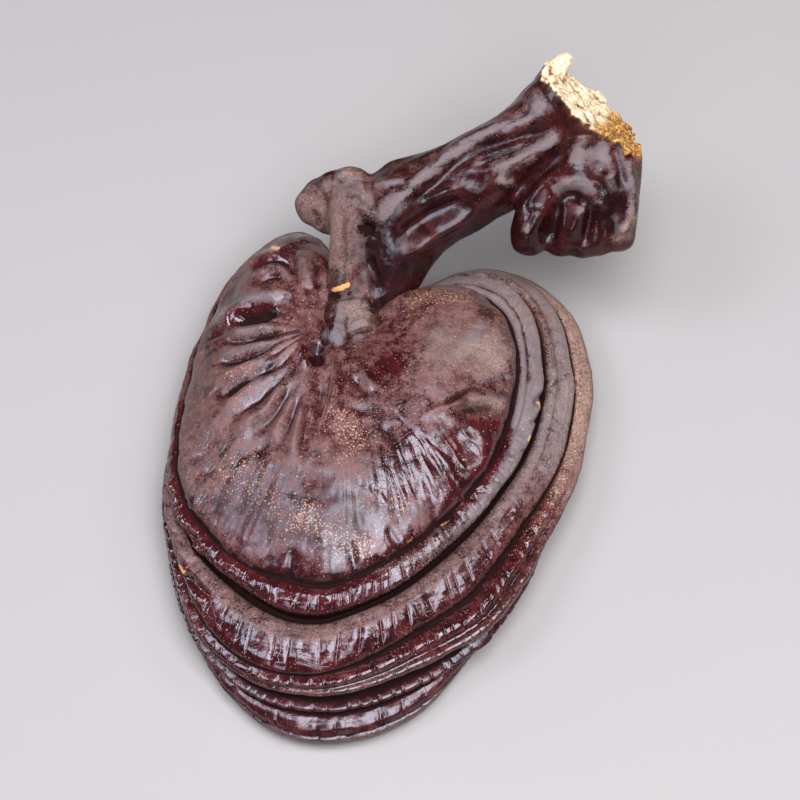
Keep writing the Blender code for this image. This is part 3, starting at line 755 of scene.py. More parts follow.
def underside(bearings):
    """The rolled edge, the ring that rests on the ground, and the pore surface."""
    reach = reaches(bearings)[5][:, None]
    edge = line_heights(bearings)[5][:, None]
    roll = np.minimum(EDGE_ROLL, reach * 0.2)
    turn = np.radians(np.linspace(0, 90, 9)[1:])
    roll_reach = reach - roll * (1 - np.cos(turn))
    inner = reach - roll - np.minimum(REST_WIDTH, reach * 0.25)
    share = np.linspace(1, 0.04, PORE_ROWS)
    field_height = UNDERSIDE_RISE * (1 - share**2) ** 0.8 * np.clip(inner / 30, 0.2, 1)
    return (laid_round(bearings, roll_reach, edge * (1 - np.sin(turn))),
            laid_round(bearings, inner * share, field_height))


def grid_faces(rows):
    """Quads of a grid of all the columns that closes on itself along its first axis."""
    i, j = np.meshgrid(np.arange(COLUMNS), np.arange(rows - 1), indexing="ij")
    here, there = i * rows + j, (i + 1) % COLUMNS * rows + j
    return np.stack([here, here + 1, there + 1, there], axis=-1).reshape(-1, 4).tolist()


def matte_faces(values):
    """Whether each quad of a closing grid has painted shade past the groove darkness: 1 or 0, in the order of
    grid_faces.
    """
    ahead = np.roll(values, -1, axis=0)
    mean = (values[:, :-1] + values[:, 1:] + ahead[:, :-1] + ahead[:, 1:]) / 4
    return (mean > GROOVE_DARKNESS).astype(np.int32).ravel()


def mesh_object(name, points, faces, material):
    """A smooth-shaded object from points in mm about the umbo's foot."""
    mesh = bpy.data.meshes.new(name)
    mesh.from_pydata(((points + UMBO_SHIFT) * MM).tolist(), [], faces)
    mesh.materials.append(material)
    mesh.shade_smooth()
    obj = bpy.data.objects.new(name, mesh)
    bpy.context.scene.collection.objects.link(obj)
    return obj


def mark(obj, layers):
    """Stores numbers per point for the material: one each, or three."""
    for name, values in layers.items():
        kind, field = ("FLOAT_VECTOR", "vector") if values.ndim > 1 else ("FLOAT", "value")
        layer = obj.data.attributes.new(name, kind, "POINT")
        layer.data.foreach_set(field, np.ascontiguousarray(values, dtype=np.float32).ravel())


def fetched(items, field, size=1, kind=np.int32):
    """One field of a mesh's points, edges, corners or faces."""
    values = np.empty(len(items) * size, kind)
    items.foreach_get(field, values)
    return values.reshape(-1, size) if size > 1 else values


def build_cap(crust, groove, pores):
    bearings, growth, points, grown, marks = cap_top()
    roll, field = underside(bearings)
    extra = roll.shape[1]
    tail = np.repeat(grown[:, -1:], extra, axis=1)
    tail[..., 2] += np.arange(1, extra + 1) * 0.6
    skin = np.concatenate([points, roll], axis=1)
    layers = {"grown": np.concatenate([grown, tail], axis=1)}
    for name, values in marks.items():
        layers[name] = np.concatenate([values, np.repeat(values[:, -1:], extra, axis=1)], axis=1)
    # one piece from each crease to the next, and the umbo at the middle of the first
    ends = [int(np.argmin(np.abs(growth - line))) + 1 for line in PIECE_LINES] + [skin.shape[1]]
    pieces = []
    first = 0
    for name, last in zip(("cap_disc", "cap_inner_band", "cap_broad_band", "cap_rim"), ends):
        rows = last - first
        flat = skin[:, first:last].reshape(-1, 3)
        fan = []
        if first == 0:
            fan = [(len(flat), i * rows, (i + 1) % COLUMNS * rows) for i in range(COLUMNS)]
            flat = np.concatenate([flat, skin[:, 0].mean(axis=0)[None]])
        piece = mesh_object(name, flat, grid_faces(rows) + fan, crust)
        piece.data.materials.append(groove)
        slots = np.append(matte_faces(layers["painted_shade"][:, first:last]), np.zeros(len(fan), np.int32))
        piece.data.polygons.foreach_set("material_index", slots)
        for layer, values in layers.items():
            part = values[:, first:last].reshape(COLUMNS * rows, -1)
            if first == 0:
                part = np.concatenate([part, part[::rows].mean(axis=0)[None]])
            mark(piece, {layer: part if layer == "grown" else part[:, 0]})
        pieces.append(piece)
        first = last - 1
    # the pore surface
    below = np.concatenate([roll[:, -1:], field], axis=1)
    below[:, 2:, 2] += 0.12 * fractal(below[:, 2:], 2.0, 2, 95) + 0.5 * fractal(below[:, 2:], 14.0, 2, 96)
    below[..., 2] = np.maximum(below[..., 2], 0.0)
    rows = below.shape[1]
    flat = np.concatenate([below.reshape(-1, 3), below[:, -1].mean(axis=0)[None]])
    middle = len(flat) - 1
    fan = [((i + 1) % COLUMNS * rows + rows - 1, i * rows + rows - 1, middle) for i in range(COLUMNS)]
    pieces.append(mesh_object("cap_pores", flat, grid_faces(rows) + fan, pores))
    return pieces


# ================================================================ the stem
# Strokes on the stem. The folds are drawn before it is torn and the wrinkles after; both are in mm.
TOP_RIDGE_LINE = (182,200, 196,184, 215,169, 234,154, 253,139, 272,131, 291,125, 307,117, 318,108)
LOWER_RIDGE_LINE = (204,231, 222,213, 242,202, 263,193)
STEM_STROKES = {
    "folds": (
        # the long top ridge with its wide upper end, a short branch, and the dark groove below it
        (2.2, 6.5, *TOP_RIDGE_LINE), (1.6, 10, 300,112, 312,103),
        (-0.8, 2.8, 190,180, 206,166, 226,152, 244,139), (0.9, 2.6, 179,171, 190,169, 206,168),
        (-2.2, 5, 208,186, 226,171, 240,158, 255,147, 272,141, 292,135, 312,128, 326,119),
        # a maroon ridge, the darkest crease, and the second ridge that opens into a flat fold
        (0.9, 4, 254,152, 272,146, 290,141, 306,135),
        (-1.8, 4, 250,160, 264,154, 278,149, 293,144, 310,134, 326,123),
        (2.2, 7.5, 266,160, 280,158, 294,151, 310,143, 328,131), (1.4, 4, 276,166, 285,173, 293,169),
        (-2.4, 5.2, 284,184, 293,176, 310,161, 335,142),
        # low ridges of the lower side
        (1.2, 5, 220,184, 240,176, 257,167), (-0.8, 3.2, 212,183, 232,171, 250,163),
        (1.8, 5, *LOWER_RIDGE_LINE), (-1.4, 6, 236,176, 252,169, 268,168),
        (-3.2, 9, 193,219, 208,207, 226,195, 246,187, 264,181),
        (-1, 3, 282,116, 292,122, 300,112, 306,100),
        # folds that fan down from the torn face
        (1.1, 5.5, 342,130, 341,146, 336,160), (1.2, 6, 352,133, 358,148, 364,166),
        (-0.6, 3.4, 347,134, 349,150, 350,160), (-1.1, 3.2, 363,138, 371,158, 374,178),
        (1, 3, 378,150, 381,176, 381,200),
        # the arched lip above the buds and the hollow under it
        (2.4, 8.5, 314,176, 323,170, 335,168, 348,170, 357,177, 360,188, 357,196),
        (-2.4, 5.5, 324,183, 334,180, 343,183),
        # the buds
        (1.8, 6.5, 311,188, 303,203, 296,216), (-2.6, 4.6, 325,180, 321,198, 315,222),
        (2.2, 6, 343,186, 338,197, 330,214), (-1.6, 3.2, 350,186, 347,204, 342,222),
        (-1.5, 3.6, 361,198, 359,212, 361,228), (1.1, 2.6, 372,214, 378,204, 381,188),
        # the knuckle and its dent, the tongue and its curled lip
        (-1.6, 3, 134,189, 136,197, 138,205), (-1.7, 2.6, 143,180, 143,198, 142,218, 141,236),
        (1.2, 5, 152,184, 154,205, 152,230), (1.5, 2.2, 165,197, 167,212, 169,225, 166,241),
        (-1.4, 2.2, 160,194, 161,212, 162,228, 159,240),
        # the crinkled crest beside it
        (1.2, 2.6, 150,166, 158,162, 168,163), (-1.1, 2, 148,172, 158,169, 166,170),
        (1.1, 2.4, 152,178, 162,175, 172,178), (-1.1, 2, 156,182, 166,181, 175,186),
        (1, 2.2, 166,186, 174,190, 180,196), (-1.3, 2.4, 174,164, 178,176, 181,188, 182,198),
        (-3.4, 4.2, 170,202, 176,205, 180,209), (1.2, 2.2, 168,214, 174,214, 182,216),
        (-2.8, 6, 174,222, 180,240, 188,258), (-1.8, 2.8, 143,256, 156,257, 168,252),
    ),
    "wrinkles": (
        (-0.55, 1.5, 157,264, 160,274, 161,286), (-0.5, 1.4, 163,268, 171,264, 181,268),
        (0.5, 1.6, 163,273, 172,269, 183,273), (-0.55, 1.5, 164,278, 173,274, 184,278),
        (0.5, 1.6, 164,283, 175,279, 184,283), (-0.5, 1.4, 166,289, 176,285, 183,287),
        (-0.4, 1.4, 150,256, 160,259, 170,257),
    ),
    "painted_shade": (
        # painted shade in the pits, crevices and hollows, and a painted shadow right of the tongue
        (0.6, 3, 145,258, 141,270, 142,284), (0.7, 3.5, 188,260, 192,272, 192,284),
        (0.85, 3.6, 171,203, 176,206, 179,209), (0.62, 16, 178,220, 186,240, 196,258),
        (0.7, 2.5, 144,256, 156,257, 168,251), (0.5, 4, 324,183, 342,182),
        (0.5, 10, 184,210, 192,218, 198,230),
    ),
    "dust_and_sheen": (
        # the first three strokes paint the arch and the buds pale as painted highlights; the long ridge
        # strokes are dust and painted sheen
        (1.6, 7, 317,177, 328,171, 343,170, 354,178, 358,190), (0.9, 4.5, 309,190, 302,204, 297,214),
        (1, 4.5, 343,188, 337,200, 331,212), (1.15, 6, *TOP_RIDGE_LINE),
        (0.6, 7, 184,198, 194,186, 204,178), (0.7, 9, 298,113, 314,102),
        (0.7, 3, 180,171, 192,169, 206,168), (1, 8, 268,160, 284,159, 300,150, 326,133),
        (0.9, 4.5, 276,165, 286,172, 292,169), (1, 10, 342,132, 342,148, 338,158),
        (1, 8, 354,136, 361,152, 366,168), (0.8, 5, 378,150, 381,176, 380,205), (0.4, 6, 360,216, 374,216),
        (0.7, 13, 148,170, 168,172, 176,190), (1.1, 16, 126,184, 140,196, 150,210, 153,236),
        (1.2, 18, 150,272, 178,278), (0.5, 7, 172,208, 170,232), (-0.9, 12, 300,200, 330,205, 356,205),
        (-0.8, 6, 315,170, 334,163, 352,168, 361,182, 358,196), (-0.5, 10, 210,214, 250,194, 276,184),
        (-0.8, 4, 134,188, 138,204), (-0.8, 5, 146,242, 160,242), (-0.8, 5, 149,283, 155,294),
    ),
    "gloss": (
        (-1, 9, *LOWER_RIDGE_LINE), (1, 9, 296,190, 300,210, 320,208, 336,204, 350,204),
        (1, 9, 314,176, 330,168, 346,168, 358,180, 354,196), (1, 6, 134,188, 138,204),
        (1, 7, 146,244, 160,244), (1, 7, 149,283, 155,294), (0.7, 5, 276,164, 286,174, 292,168),
    ),
    "tan": (
        (0.2, 16, 128,184, 142,196, 152,214, 154,236), (0.55, 8, 166,268, 180,280),
        (0.6, 3.5, 158,159, 170,162), (0.5, 3, 374,206, 382,198), (0.5, 3, 366,214, 378,212),
    ),
    "orange": (
        (1, 2.2, 150,252, 155,251, 161,248), (0.45, 1.2, 172,246, 176,254, 180,262),
        (0.5, 1.2, 234,194, 237,196), (0.5, 1.6, 160,159, 164,158),
    ),
    # where the knuckle is crumpled, and the wider patch where it is dusty
    "knuckle": ((1, 13, 150,172, 168,182, 176,196),),
    "knuckle dust": ((1, 30, 130,185, 160,190, 150,236),),
}


def dome(end, inner):
    """Stations of the round end of a tube, and the way it points."""
    ahead = (end - inner)[:3] / np.linalg.norm((end - inner)[:3])
    rise = np.radians((15, 30, 45, 60, 75))
    return [np.append(end[:3] + ahead * end[3] * np.sin(a), end[3] * np.cos(a)) for a in rise], ahead


def tube(stations, sides=40, steps=10):
    """(points, faces) of a closed round tube through the stations, with domed ends."""
    rows = np.array(stations, float)
    at = np.linspace(0, len(rows) - 1, (len(rows) - 1) * steps + 1)
    path = np.stack([np.interp(at, np.arange(len(rows)), rows[:, k]) for k in range(4)], axis=1)
    for _ in range(12):
        path[1:-1] = (path[:-2] + path[1:-1] * 2 + path[2:]) / 4
    before, _ = dome(path[0], path[1])
    after, tail = dome(path[-1], path[-2])
    path = np.array(before[::-1] + list(path) + after)
    points, faces = [], []
    side = Vector((1, 0, 0)) if abs(tail[2]) > 0.9 else Vector((0, 0, 1))
    for k, (x, y, z, radius) in enumerate(path):
        ahead = Vector(path[min(k + 1, len(path) - 1)][:3] - path[max(k - 1, 0)][:3]).normalized()
        side = (side - ahead * side.dot(ahead)).normalized()
        other = ahead.cross(side)
        for turn in np.arange(sides) * FULL_TURN / sides:
            points.append(Vector((x, y, z)) + (side * math.cos(turn) + other * math.sin(turn)) * radius)
    for k in range(len(path) - 1):
        for i in range(sides):
            a, b = k * sides + i, k * sides + (i + 1) % sides
            faces.append((a, b, b + sides, a + sides))
    faces.append(tuple(range(sides))[::-1])
    faces.append(tuple(range((len(path) - 1) * sides, len(path) * sides)))
    return points, faces


def ball(x, y, z, radius):
    low, high, girth = z - radius * 0.2, z + radius * 0.2, radius * 0.98
    return tube(((x, y, low, girth), (x, y, high, girth)), 32, 2)


def torn_axes():
    facing = Vector(TORN_FACING).normalized()
    across = facing.cross(Vector(TORN_EDGE_ON)).normalized()
    along = across.cross(facing)
    return np.array(along), np.array(across), np.array(facing)


def torn_height(u, v):
    """The torn face's height over its plane: fibres, pits and the standing shard."""
    at = stacked(u, v, 0)
    rough = 1.5 * fractal(at, 5.0, 3, 201) + 0.5 * np.abs(fractal(at, 1.6, 2, 211))
    rough += 0.45 * fractal(stacked(u / 5.0, v / 0.8, 0), 1.0, 2, 221)
    shard = np.exp(-((u - SHARD_PLACE[0]) ** 2 + (v - SHARD_PLACE[1]) ** 2) / 9.0)
    return rough + SHARD_HEIGHT * smoothstep(0.15, 0.75, shard)


def torn_block():
    """(points, faces) of the block that is torn away."""
    along, across, facing = torn_axes()
    count, last = TORN_CELLS, TORN_CELLS - 1
    step = np.linspace(-TORN_REACH, TORN_REACH, count)
    u, v = np.meshgrid(step, step, indexing="ij")
    near = TORN_MIDDLE + u[..., None] * along + v[..., None] * across + torn_height(u, v)[..., None] * facing
    points = near.reshape(-1, 3).tolist()
    far = len(points)
    for i, j in ((0, 0), (last, 0), (last, last), (0, last)):
        points.append((TORN_MIDDLE + step[i] * along + step[j] * across + facing * TORN_DEPTH).tolist())
    i, j = np.meshgrid(np.arange(last), np.arange(last), indexing="ij")
    a = i * count + j
    faces = np.stack([a + 1, a + count + 1, a + count, a], axis=-1).reshape(-1, 4).tolist()
    run, back = range(count), range(last, -1, -1)
    rims = ([k * count for k in run], [last * count + k for k in run], [k * count + last for k in back],
            list(back))
    for n, rim in enumerate(rims):
        faces.append(rim + [far + (n + 1) % 4, far + n])
    faces.append([far, far + 1, far + 2, far + 3])
    return points, faces


def skinned(obj, cell):
    """Works the object's modifiers into its mesh, and then one even skin with cells of a size in mm."""
    remesh = obj.modifiers.new("even skin", "REMESH")
    remesh.mode = "VOXEL"
    remesh.voxel_size = cell * MM
    depsgraph = bpy.context.evaluated_depsgraph_get()
    mesh = bpy.data.meshes.new_from_object(obj.evaluated_get(depsgraph))
    obj.modifiers.clear()
    obj.data = mesh


def read_points(obj):
    """A mesh's points in mm about the umbo's foot, and its normals."""
    points = fetched(obj.data.vertices, "co", 3, np.float32).astype(float) / MM - UMBO_SHIFT
    return points, fetched(obj.data.vertex_normals, "vector", 3, np.float32).astype(float)


def write_points(obj, points):
    obj.data.vertices.foreach_set("co", ((points + UMBO_SHIFT) * MM).astype(np.float32).ravel())
    obj.data.update()


def relaxed(values, ends, times):
    """Values [n, k] averaged over their neighbours a number of times."""
    count = np.bincount(ends.ravel(), minlength=len(values)).astype(float)[:, None]
    for _ in range(times):
        total = np.stack([
            np.bincount(ends[:, 0], values[ends[:, 1], k], len(values))
            + np.bincount(ends[:, 1], values[ends[:, 0], k], len(values))
            for k in range(values.shape[1])], axis=1)
        values = values * 0.4 + 0.6 * total / np.maximum(count, 1)
    return values


def along_stem(points):
    """For each point, its run along the stem in mm and the angle about it."""
    line = rounded([row[:3] for row in STEM_RUN])
    _, _, run, arm = nearest_on(line, points)
    overall = (line[-1] - line[0]) / np.linalg.norm(line[-1] - line[0])
    side = np.cross(overall, (0, 0, 1.0))
    side /= np.linalg.norm(side)
    return run, np.arctan2(arm @ side, arm @ np.cross(side, overall))


def rough_stem(bark):
    """The tubes and balls under one smoothed skin."""
    parts = [tube(run) for run in (STEM_RUN, TONGUE_RUN) + FINGER_RUNS] + [ball(*lump) for lump in LUMPS]
    points, faces = [], []
    for part_points, part_faces in parts:
        start = len(points)
        points += [tuple(p) for p in part_points]
        faces += [tuple(start + k for k in face) for face in part_faces]
    stem = mesh_object("stem_bark", np.array(points), faces, bark)
    skinned(stem, ROUGH_VOXEL)
    at, _ = read_points(stem)
    write_points(stem, relaxed(at, fetched(stem.data.edges, "vertices", 2), 9))
    return stem


def fold(stem):
    """Adds the drawn folds where the fixed view sees them, and long folds elsewhere."""
    at, normals = read_points(stem)
    run, turn = along_stem(at)
    folds = stacked(np.cos(turn) * 1.5, np.sin(turn) * 1.5, run / 34)
    facing = towards_view(at, normals)
    unseen = 1 - smoothstep(0.0, 0.5, facing)
    rise = (0.05 + 1.2 * unseen) * fractal(folds, 1.0, 3, 301)
    crease = -np.abs(fractal(folds + 5, 0.8, 2, 311))
    rise += unseen * (crease + 0.3)
    rise += (0.2 + 0.3 * unseen) * fractal(at, 9.0, 2, 321)
    rise += drawn(seen_at(at), facing, STEM_STROKES["folds"], 0.25)
    at = at + normals * rise[:, None]
    # the small boss beside the knob has a nearly flat top
    from_boss = at - BOSS_MIDDLE
    near = 1 - smoothstep(*BOSS_REACH, np.linalg.norm(from_boss, axis=1))
    above = np.maximum(from_boss @ BOSS_FACING - BOSS_FLAT_FROM, 0)
    at -= (BOSS_FLATNESS * near * above)[:, None] * BOSS_FACING
    write_points(stem, at)


def tear(stem, bark):
    """Tears the stem's end off and gives what is left its fine skin."""
    block_points, block_faces = torn_block()
    block = mesh_object("torn_block", np.array(block_points), block_faces, bark)
    cut = stem.modifiers.new("torn", "BOOLEAN")
    cut.operation = "DIFFERENCE"
    cut.solver = "EXACT"
    cut.object = block
    skinned(stem, STEM_VOXEL)
    bpy.data.objects.remove(block)


def build_stem(bark, groove):
    stem = rough_stem(bark)
    fold(stem)
    tear(stem, bark)

    # the flesh stays rough and the bark is smoothed
    at, _ = read_points(stem)
    ends = fetched(stem.data.edges, "vertices", 2)
    along, across, facing_out = torn_axes()
    offset = at - TORN_MIDDLE
    over = offset @ facing_out - torn_height(offset @ along, offset @ across)
    ragged = 0.35 * fractal(at, 2.4, 2, 401)
    flesh = smoothstep(-0.95, -0.45, over + ragged)
    at = at * flesh[:, None] + relaxed(at, ends, 6) * (1 - flesh[:, None])
    write_points(stem, at)
    at, normals = read_points(stem)
    run, turn = along_stem(at)
    grain = stacked(np.cos(turn) * 13 / 1.5, np.sin(turn) * 13 / 1.5, run / 9)
    pixels = seen_at(at)
    facing = towards_view(at, normals)

    def sketched(name, taper=0.0):
        return drawn(pixels, facing, STEM_STROKES[name], taper)

    knuckle = sketched("knuckle")
    rise = 0.03 * fractal(grain, 1.0, 2, 411) * (1 - flesh)
    rise += 0.04 * fractal(at, 2.6, 2, 421) * (1 - flesh)
    rise += 0.45 * knuckle * fractal(at, 2.6, 3, 431)
    rise += sketched("wrinkles")
    rise += 0.22 * flesh * fractal(at, 1.1, 2, 441)
    smooth = relaxed(at, ends, 14)
    hollow = ((at - smooth) * normals).sum(axis=1)
    at = at + normals * rise[:, None]
    write_points(stem, at)

    # dust lies on what faces up and on what stands proud; its pale strokes also paint highlights and sheen
    proudness = np.clip(hollow / 0.35 + rise * 1.2, -1, 1)
    dust_and_sheen = -0.30 + 0.40 * smoothstep(0.6, 0.97, normals[:, 2]) + 0.20 * proudness
    patchy = 0.92 + 0.5 * fractal(grain, 1.0, 2, 467) + 0.3 * fractal(at, 4.0, 2, 468)
    dust_and_sheen += sketched("dust_and_sheen", 0.1) * patchy + 0.15 * fractal(at, 12.0, 2, 451)
    dust_and_sheen += 0.22 * fractal(at, 3.4, 3, 455)
    knuckle_dust = np.clip(sketched("knuckle dust"), 0, 1)
    dust_and_sheen += 0.7 * knuckle_dust
    # painted shade in the hollows and along the drawn dark strokes
    painted_shade = np.clip(-proudness - 0.25, 0, 1) * 0.7
    painted_shade += np.minimum(sketched("painted_shade"), 1) * (0.85 + 0.3 * fractal(at, 2.0, 2, 465))
    # an orange-brown border below the cream flesh
    border = smoothstep(-2.6, -0.7, over + ragged) * (1 - flesh)
    low_side = smoothstep(2, 12, offset @ along)
    mark(stem, {
        "flesh": flesh,
        "border": border * (0.4 + 0.6 * low_side),
        "flesh_low": smoothstep(-4, 14, offset @ along + 3 * fractal(at, 5.0, 2, 461)),
        "dust_and_sheen": dust_and_sheen,
        "gloss": np.clip(sketched("gloss"), 0, 1),
        "tan": sketched("tan"),
        "grey_and_sheen": smoothstep(0.2, 0.9, dust_and_sheen) * (0.85 - 0.5 * knuckle_dust),
        "painted_shade": painted_shade,
        "speck": 0.5 * knuckle - 0.4,
        "orange": sketched("orange"),
        "proudness": proudness,
        "grown": grain * 1.5,
    })
    # where the painted shade is deepest, the matt black painted shade material takes over
    stem.data.materials.append(groove)
    corners = fetched(stem.data.loops, "vertex_index")
    first_corners = corners[fetched(stem.data.polygons, "loop_start")]
    deep = (painted_shade * (1 - flesh))[first_corners] > GROOVE_DARKNESS
    stem.data.polygons.foreach_set("material_index", deep.astype(np.int32))
    return stem


# ================================================================ materials
class Tree:
    """Short spellings for building a node tree."""

    def __init__(self, name):
        self.material = bpy.data.materials.new(name)
        self.material.use_nodes = True
        self.nodes = self.material.node_tree.nodes
        self.shader = self.nodes["Principled BSDF"]

    def put(self, node, values):
        """Joins sockets to a node's inputs, or sets them, by number or name."""
        for key, value in values.items():
            if hasattr(value, "is_output"):
                self.material.node_tree.links.new(value, node.inputs[key])
            else:
                node.inputs[key].default_value = value

    def add(self, kind, *values, out=0, named=(), **settings):
        node = self.nodes.new(kind)
        for key, value in settings.items():
            setattr(node, key, value)
        self.put(node, dict(enumerate(values)) | dict(named))
        return node.outputs[out]

    def mark(self, name, out="Fac"):
        return self.add("ShaderNodeAttribute", out=out, attribute_name=name)

    def place(self):
        """The object's own coordinates in mm."""
        return self.scaled(self.add("ShaderNodeTexCoord", out=3), 1000.0, 1000.0, 1000.0)

    def math(self, operation, a, b=0.0, clamp=False):
        return self.add("ShaderNodeMath", a, b, operation=operation, use_clamp=clamp)

    def about(self, noise, factor):
        """A term for plus: how far a noise is from its middle, times a factor."""
        return self.math("SUBTRACT", noise, 0.5), factor

    def plus(self, *terms):
        """The sum of sockets or numbers, each of which may be (socket, factor)."""
        total = None
        for term in terms:
            if isinstance(term, tuple):
                term = self.math("MULTIPLY", *term)
            total = term if total is None else self.math("ADD", total, term)
        return total

    def ramp(self, value, low, high, to_low=0.0, to_high=1.0):
        limits = {"Value": value, "From Min": low, "From Max": high, "To Min": to_low, "To Max": to_high}
        return self.add("ShaderNodeMapRange", named=limits, interpolation_type="SMOOTHSTEP")

    def mix(self, factor, a, b):
        node = self.nodes.new("ShaderNodeMix")
        node.data_type = "RGBA"
        first, second = [k for k, socket in enumerate(node.inputs) if socket.type == "RGBA"]
        a, b = ((*value, 1.0) if isinstance(value, tuple) else value for value in (a, b))
        self.put(node, {0: factor, first: a, second: b})
        return [socket for socket in node.outputs if socket.type == "RGBA"][0]

    def scaled(self, vector, x, y, z):
        return self.add("ShaderNodeVectorMath", vector, (x, y, z), operation="MULTIPLY")

    def noise(self, vector, scale, detail=3.0, rough=0.55, warp=0.0):
        look = {"Vector": vector, "Scale": scale, "Detail": detail, "Roughness": rough, "Distortion": warp}
        return self.add("ShaderNodeTexNoise", out="Fac", named=look)

    def cells(self, vector, scale, feature="F1"):
        look = {"Vector": vector, "Scale": scale}
        return self.add("ShaderNodeTexVoronoi", out="Distance", named=look, feature=feature)

    def bump(self, height, strength, depth):
        look = {"Strength": strength, "Distance": depth, "Height": height}
        return self.add("ShaderNodeBump", named=look)


def lacquer(name, deep, red, with_flesh):
    """Dark lacquered crust under patches of pale spore dust and painted sheen, worn tan where it stands
    proud, with painted shade in its grooves.
    """
    t = Tree(name)
    place = t.place()
    grown = t.mark("grown", "Vector")
    streaks = t.noise(t.scaled(grown, 0.4, 0.4, 0.07), 1.0, 3.0, 0.5)
    fine_streaks = t.noise(t.scaled(grown, 1.3, 1.3, 0.2), 1.0, 2.0, 0.5)
    rings = t.noise(t.scaled(grown, 0.05, 0.05, 0.9), 1.0, 4.0, 0.65)
    clouds = t.noise(place, 0.07, 3.0, 0.6, 0.6)
    mottle = t.noise(place, 0.28, 5.0, 0.65, 0.4)
    grit = t.noise(place, 1.5, 4.0, 0.7)
    grain = t.noise(place, 2.3, 2.0, 0.7)

    # the lacquer under the dust
    hue = t.ramp(t.plus((clouds, 0.6), (mottle, 0.7), (streaks, 0.3), (rings, 0.25)), 0.72, 1.15)
    colour = t.mix(hue, deep, red)
    cracks = t.ramp(t.cells(t.scaled(grown, 0.24, 0.24, 0.20), 1.0, "DISTANCE_TO_EDGE"), 0.0, 0.035, 1.0, 0.0)
    cracks = t.math("MULTIPLY", cracks, t.mark("crazed"))

    # dust and painted sheen: pinkish on the cap and greyer where it is marked
    amount = t.plus(t.mark("dust_and_sheen"), t.about(mottle, 1.1), t.about(clouds, 0.8), t.about(streaks, 1.0),
                    t.about(grit, 1.5), t.about(rings, 0.3), t.about(grain, 1.5))
    cover = t.ramp(amount, 0.0, 0.9)
    dust_and_sheen = t.mix(t.ramp(t.plus(mottle, (grit, 0.5)), 0.6, 0.9), *DUST)
    dust_and_sheen = t.mix(t.ramp(t.plus(t.mark("grey_and_sheen"), t.about(grit, 1.2)), 0.0, 1.0), dust_and_sheen, GREY_DUST_AND_SHEEN)
    colour = t.mix(t.math("MULTIPLY", cover, 0.9), colour, dust_and_sheen)

    # the tan rim and lips
    worn_through = t.ramp(t.plus(mottle, grain, (grit, 0.8)), 1.12, 1.30)
    tan_amount = t.math("MULTIPLY", t.mark("tan"), worn_through, True)
    colour = t.mix(tan_amount, colour, t.mix(t.ramp(grit, 0.35, 0.65), *TAN))

    # tan and orange specks
    picked = t.ramp(t.plus(t.noise(place, 1.9, 1.0, 0.5), (t.mark("speck"), 0.15)), 0.70, 0.75)
    colour = t.mix(t.math("MULTIPLY", picked, 0.8), colour, SPECK)
    ragged = t.plus(t.math("MULTIPLY", t.mark("orange"), 1.0, True), t.about(grit, 1.6))
    colour = t.mix(t.ramp(ragged, 0.45, 0.6), colour, t.mix(grit, *ORANGE))

    # fine cracks, and painted shade in the grooves and hollows
    colour = t.mix(t.math("MULTIPLY", cracks, 0.5), colour, BLACK)
    colour = t.mix(t.math("MULTIPLY", t.mark("painted_shade"), 0.9, True), colour, BLACK)

    rough = t.plus(0.26 if with_flesh else 0.20, (cover, 0.42), t.about(mottle, 0.2), (tan_amount, 0.15),
                   (t.mark("gloss"), -0.10))
    height = t.plus((t.noise(place, 0.9, 2.0, 0.5), 0.3), (fine_streaks, 0.12 if with_flesh else 0.05),
                    (rings, 0.08), (grain, 0.07), (cracks, -0.3))

    if with_flesh:
        flesh, low = t.mark("flesh"), t.mark("flesh_low")
        pith = t.noise(place, 0.9, 4.0, 0.7)
        cream = t.mix(t.ramp(pith, 0.35, 0.6), *CREAM_FLESH)
        amber = t.mix(t.ramp(pith, 0.4, 0.62), *AMBER_FLESH)
        body = t.mix(t.ramp(t.plus(low, (pith, 0.8)), 0.7, 1.1), cream, amber)
        # painted shade in the hollows of the flesh
        body = t.mix(t.ramp(t.mark("proudness"), -0.7, 0.1), FLESH_PIT_SHADE, body)
        edge = t.math("MULTIPLY", t.mark("border"), t.ramp(mottle, 0.42, 0.6), True)
        colour = t.mix(t.math("MULTIPLY", edge, 0.6), colour, FLESH_BORDER)
        colour = t.mix(flesh, colour, body)
        rough = t.plus(t.math("MULTIPLY", rough, t.math("SUBTRACT", 1.0, flesh)), (flesh, 0.85))
        t.put(t.shader, {"Specular IOR Level": 0.25})

    normal = t.bump(height, 0.5, 0.00022)
    t.put(t.shader, {"Base Color": colour, "Roughness": rough, "Normal": normal, "IOR": 1.6})
    return t.material


def groove_shade():
    """A matt black painted shade at the bottom of the grooves."""
    t = Tree("groove_painted_shade")
    colour = t.mix(t.noise(t.place(), 0.5, 3.0, 0.6), *PAINTED_GROOVE_SHADE)
    t.put(t.shader, {"Base Color": colour, "Roughness": 0.9, "Specular IOR Level": 0.08})
    return t.material


def pore_surface():
    """The dull tan underside with its fine pores."""
    t = Tree("pore_layer")
    place = t.place()
    pores = t.cells(place, 3.2)
    mottle = t.noise(place, 0.12, 5.0, 0.6)
    colour = t.mix(t.ramp(mottle, 0.35, 0.65), *PORE_LAYER)
    colour = t.mix(t.ramp(pores, 0.12, 0.3, 0.7, 0.0), colour, PORE_HOLES)
    t.put(t.shader, {"Base Color": colour, "Roughness": t.plus(0.75, (mottle, 0.15)),
                     "Normal": t.bump(pores, 0.6, 0.0003)})
    return t.material


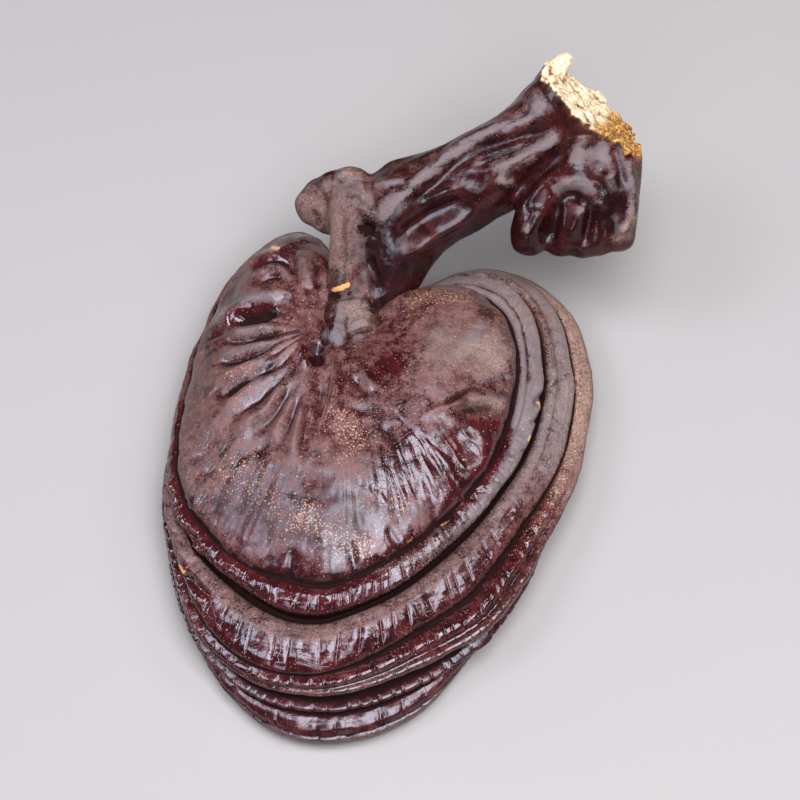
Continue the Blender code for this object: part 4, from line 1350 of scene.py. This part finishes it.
# ================================================================ the studio
def studio():
    t = Tree("pale_floor")
    t.put(t.shader, {"Base Color": (0.39, 0.37, 0.325, 1.0), "Roughness": 0.8, "Specular IOR Level": 0.1})
    mesh = bpy.data.meshes.new("floor")
    reach = 4.0
    corners = [(-reach, -reach, 0), (reach, -reach, 0), (reach, reach, 0), (-reach, reach, 0)]
    mesh.from_pydata(corners, [], [(0, 1, 2, 3)])
    mesh.materials.append(t.material)
    floor = bpy.data.objects.new("floor", mesh)
    floor.location.z = -0.0002
    bpy.context.scene.collection.objects.link(floor)

    world = bpy.data.worlds.new("studio")
    world.use_nodes = True
    background = world.node_tree.nodes["Background"]
    background.inputs["Color"].default_value = (0.92, 0.90, 0.91, 1.0)
    background.inputs["Strength"].default_value = 0.10
    bpy.context.scene.world = world
    bpy.context.scene.view_settings.view_transform = "Standard"

    # name, place in metres, width, depth, watts, colour
    lights = (
        ("right", (0.60, -0.02, 0.66), 0.16, 0.20, 1.1, (0.94, 0.94, 1.0)),
        ("left", (-0.80, 0.14, 0.24), 0.16, 0.20, 1.3, (0.80, 0.84, 1.0)),
        ("overhead", (0.18, -0.25, 0.89), 0.54, 0.76, 15.0, (0.85, 0.85, 1.0)),
        ("left front", (-0.50, -0.04, 0.78), 0.32, 0.40, 3.4, (0.78, 0.81, 1.0)),
        ("front", (0.02, -0.68, 0.66), 0.70, 0.22, 2.6, (0.72, 0.76, 1.0)),
    )
    aim = Vector((0.0, 0.0, 0.03))
    for name, place, width, depth, watts, colour in lights:
        lamp = bpy.data.lights.new(name, "AREA")
        lamp.shape = "RECTANGLE"
        lamp.size, lamp.size_y = width, depth
        lamp.energy = watts
        lamp.color = colour
        obj = bpy.data.objects.new(name, lamp)
        obj.location = place
        obj.rotation_mode = "QUATERNION"
        obj.rotation_quaternion = (aim - Vector(place)).to_track_quat("-Z", "Y")
        bpy.context.scene.collection.objects.link(obj)


def camera():
    tilt = math.radians(VIEW_ELEVATION)
    eye = bpy.data.objects.new("camera", bpy.data.cameras.new("camera"))
    eye.data.sensor_width = SENSOR_WIDTH
    eye.data.lens = PICTURE_ZOOM * SENSOR_WIDTH * VIEW_FOCAL / (2 * VIEW_MIDDLE)
    eye.data.clip_start = 0.01
    eye.location = (Vector(VIEW_PLACE) + Vector((*UMBO_IN_PLAN, 0.0))) * MM
    ahead = Vector((0.0, math.cos(tilt), -math.sin(tilt)))
    across, down = PICTURE_MIDDLE
    aim = Vector((across - VIEW_MIDDLE, VIEW_MIDDLE - down, -VIEW_FOCAL))
    turn = Vector((0.0, 0.0, -1.0)).rotation_difference(aim)
    eye.rotation_mode = "QUATERNION"
    eye.rotation_quaternion = ahead.to_track_quat("-Z", "Y") @ turn
    bpy.context.scene.collection.objects.link(eye)
    bpy.context.scene.camera = eye


def main():
    camera()
    studio()
    crust = lacquer("reishi_crust", *CRUST, False)
    bark = lacquer("reishi_bark", *BARK, True)
    groove = groove_shade()
    for piece in build_cap(crust, groove, pore_surface()):
        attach(piece, "root")
        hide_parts("cap")
    stem = build_stem(bark, groove)
    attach(stem, "root")
    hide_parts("stem")


main()
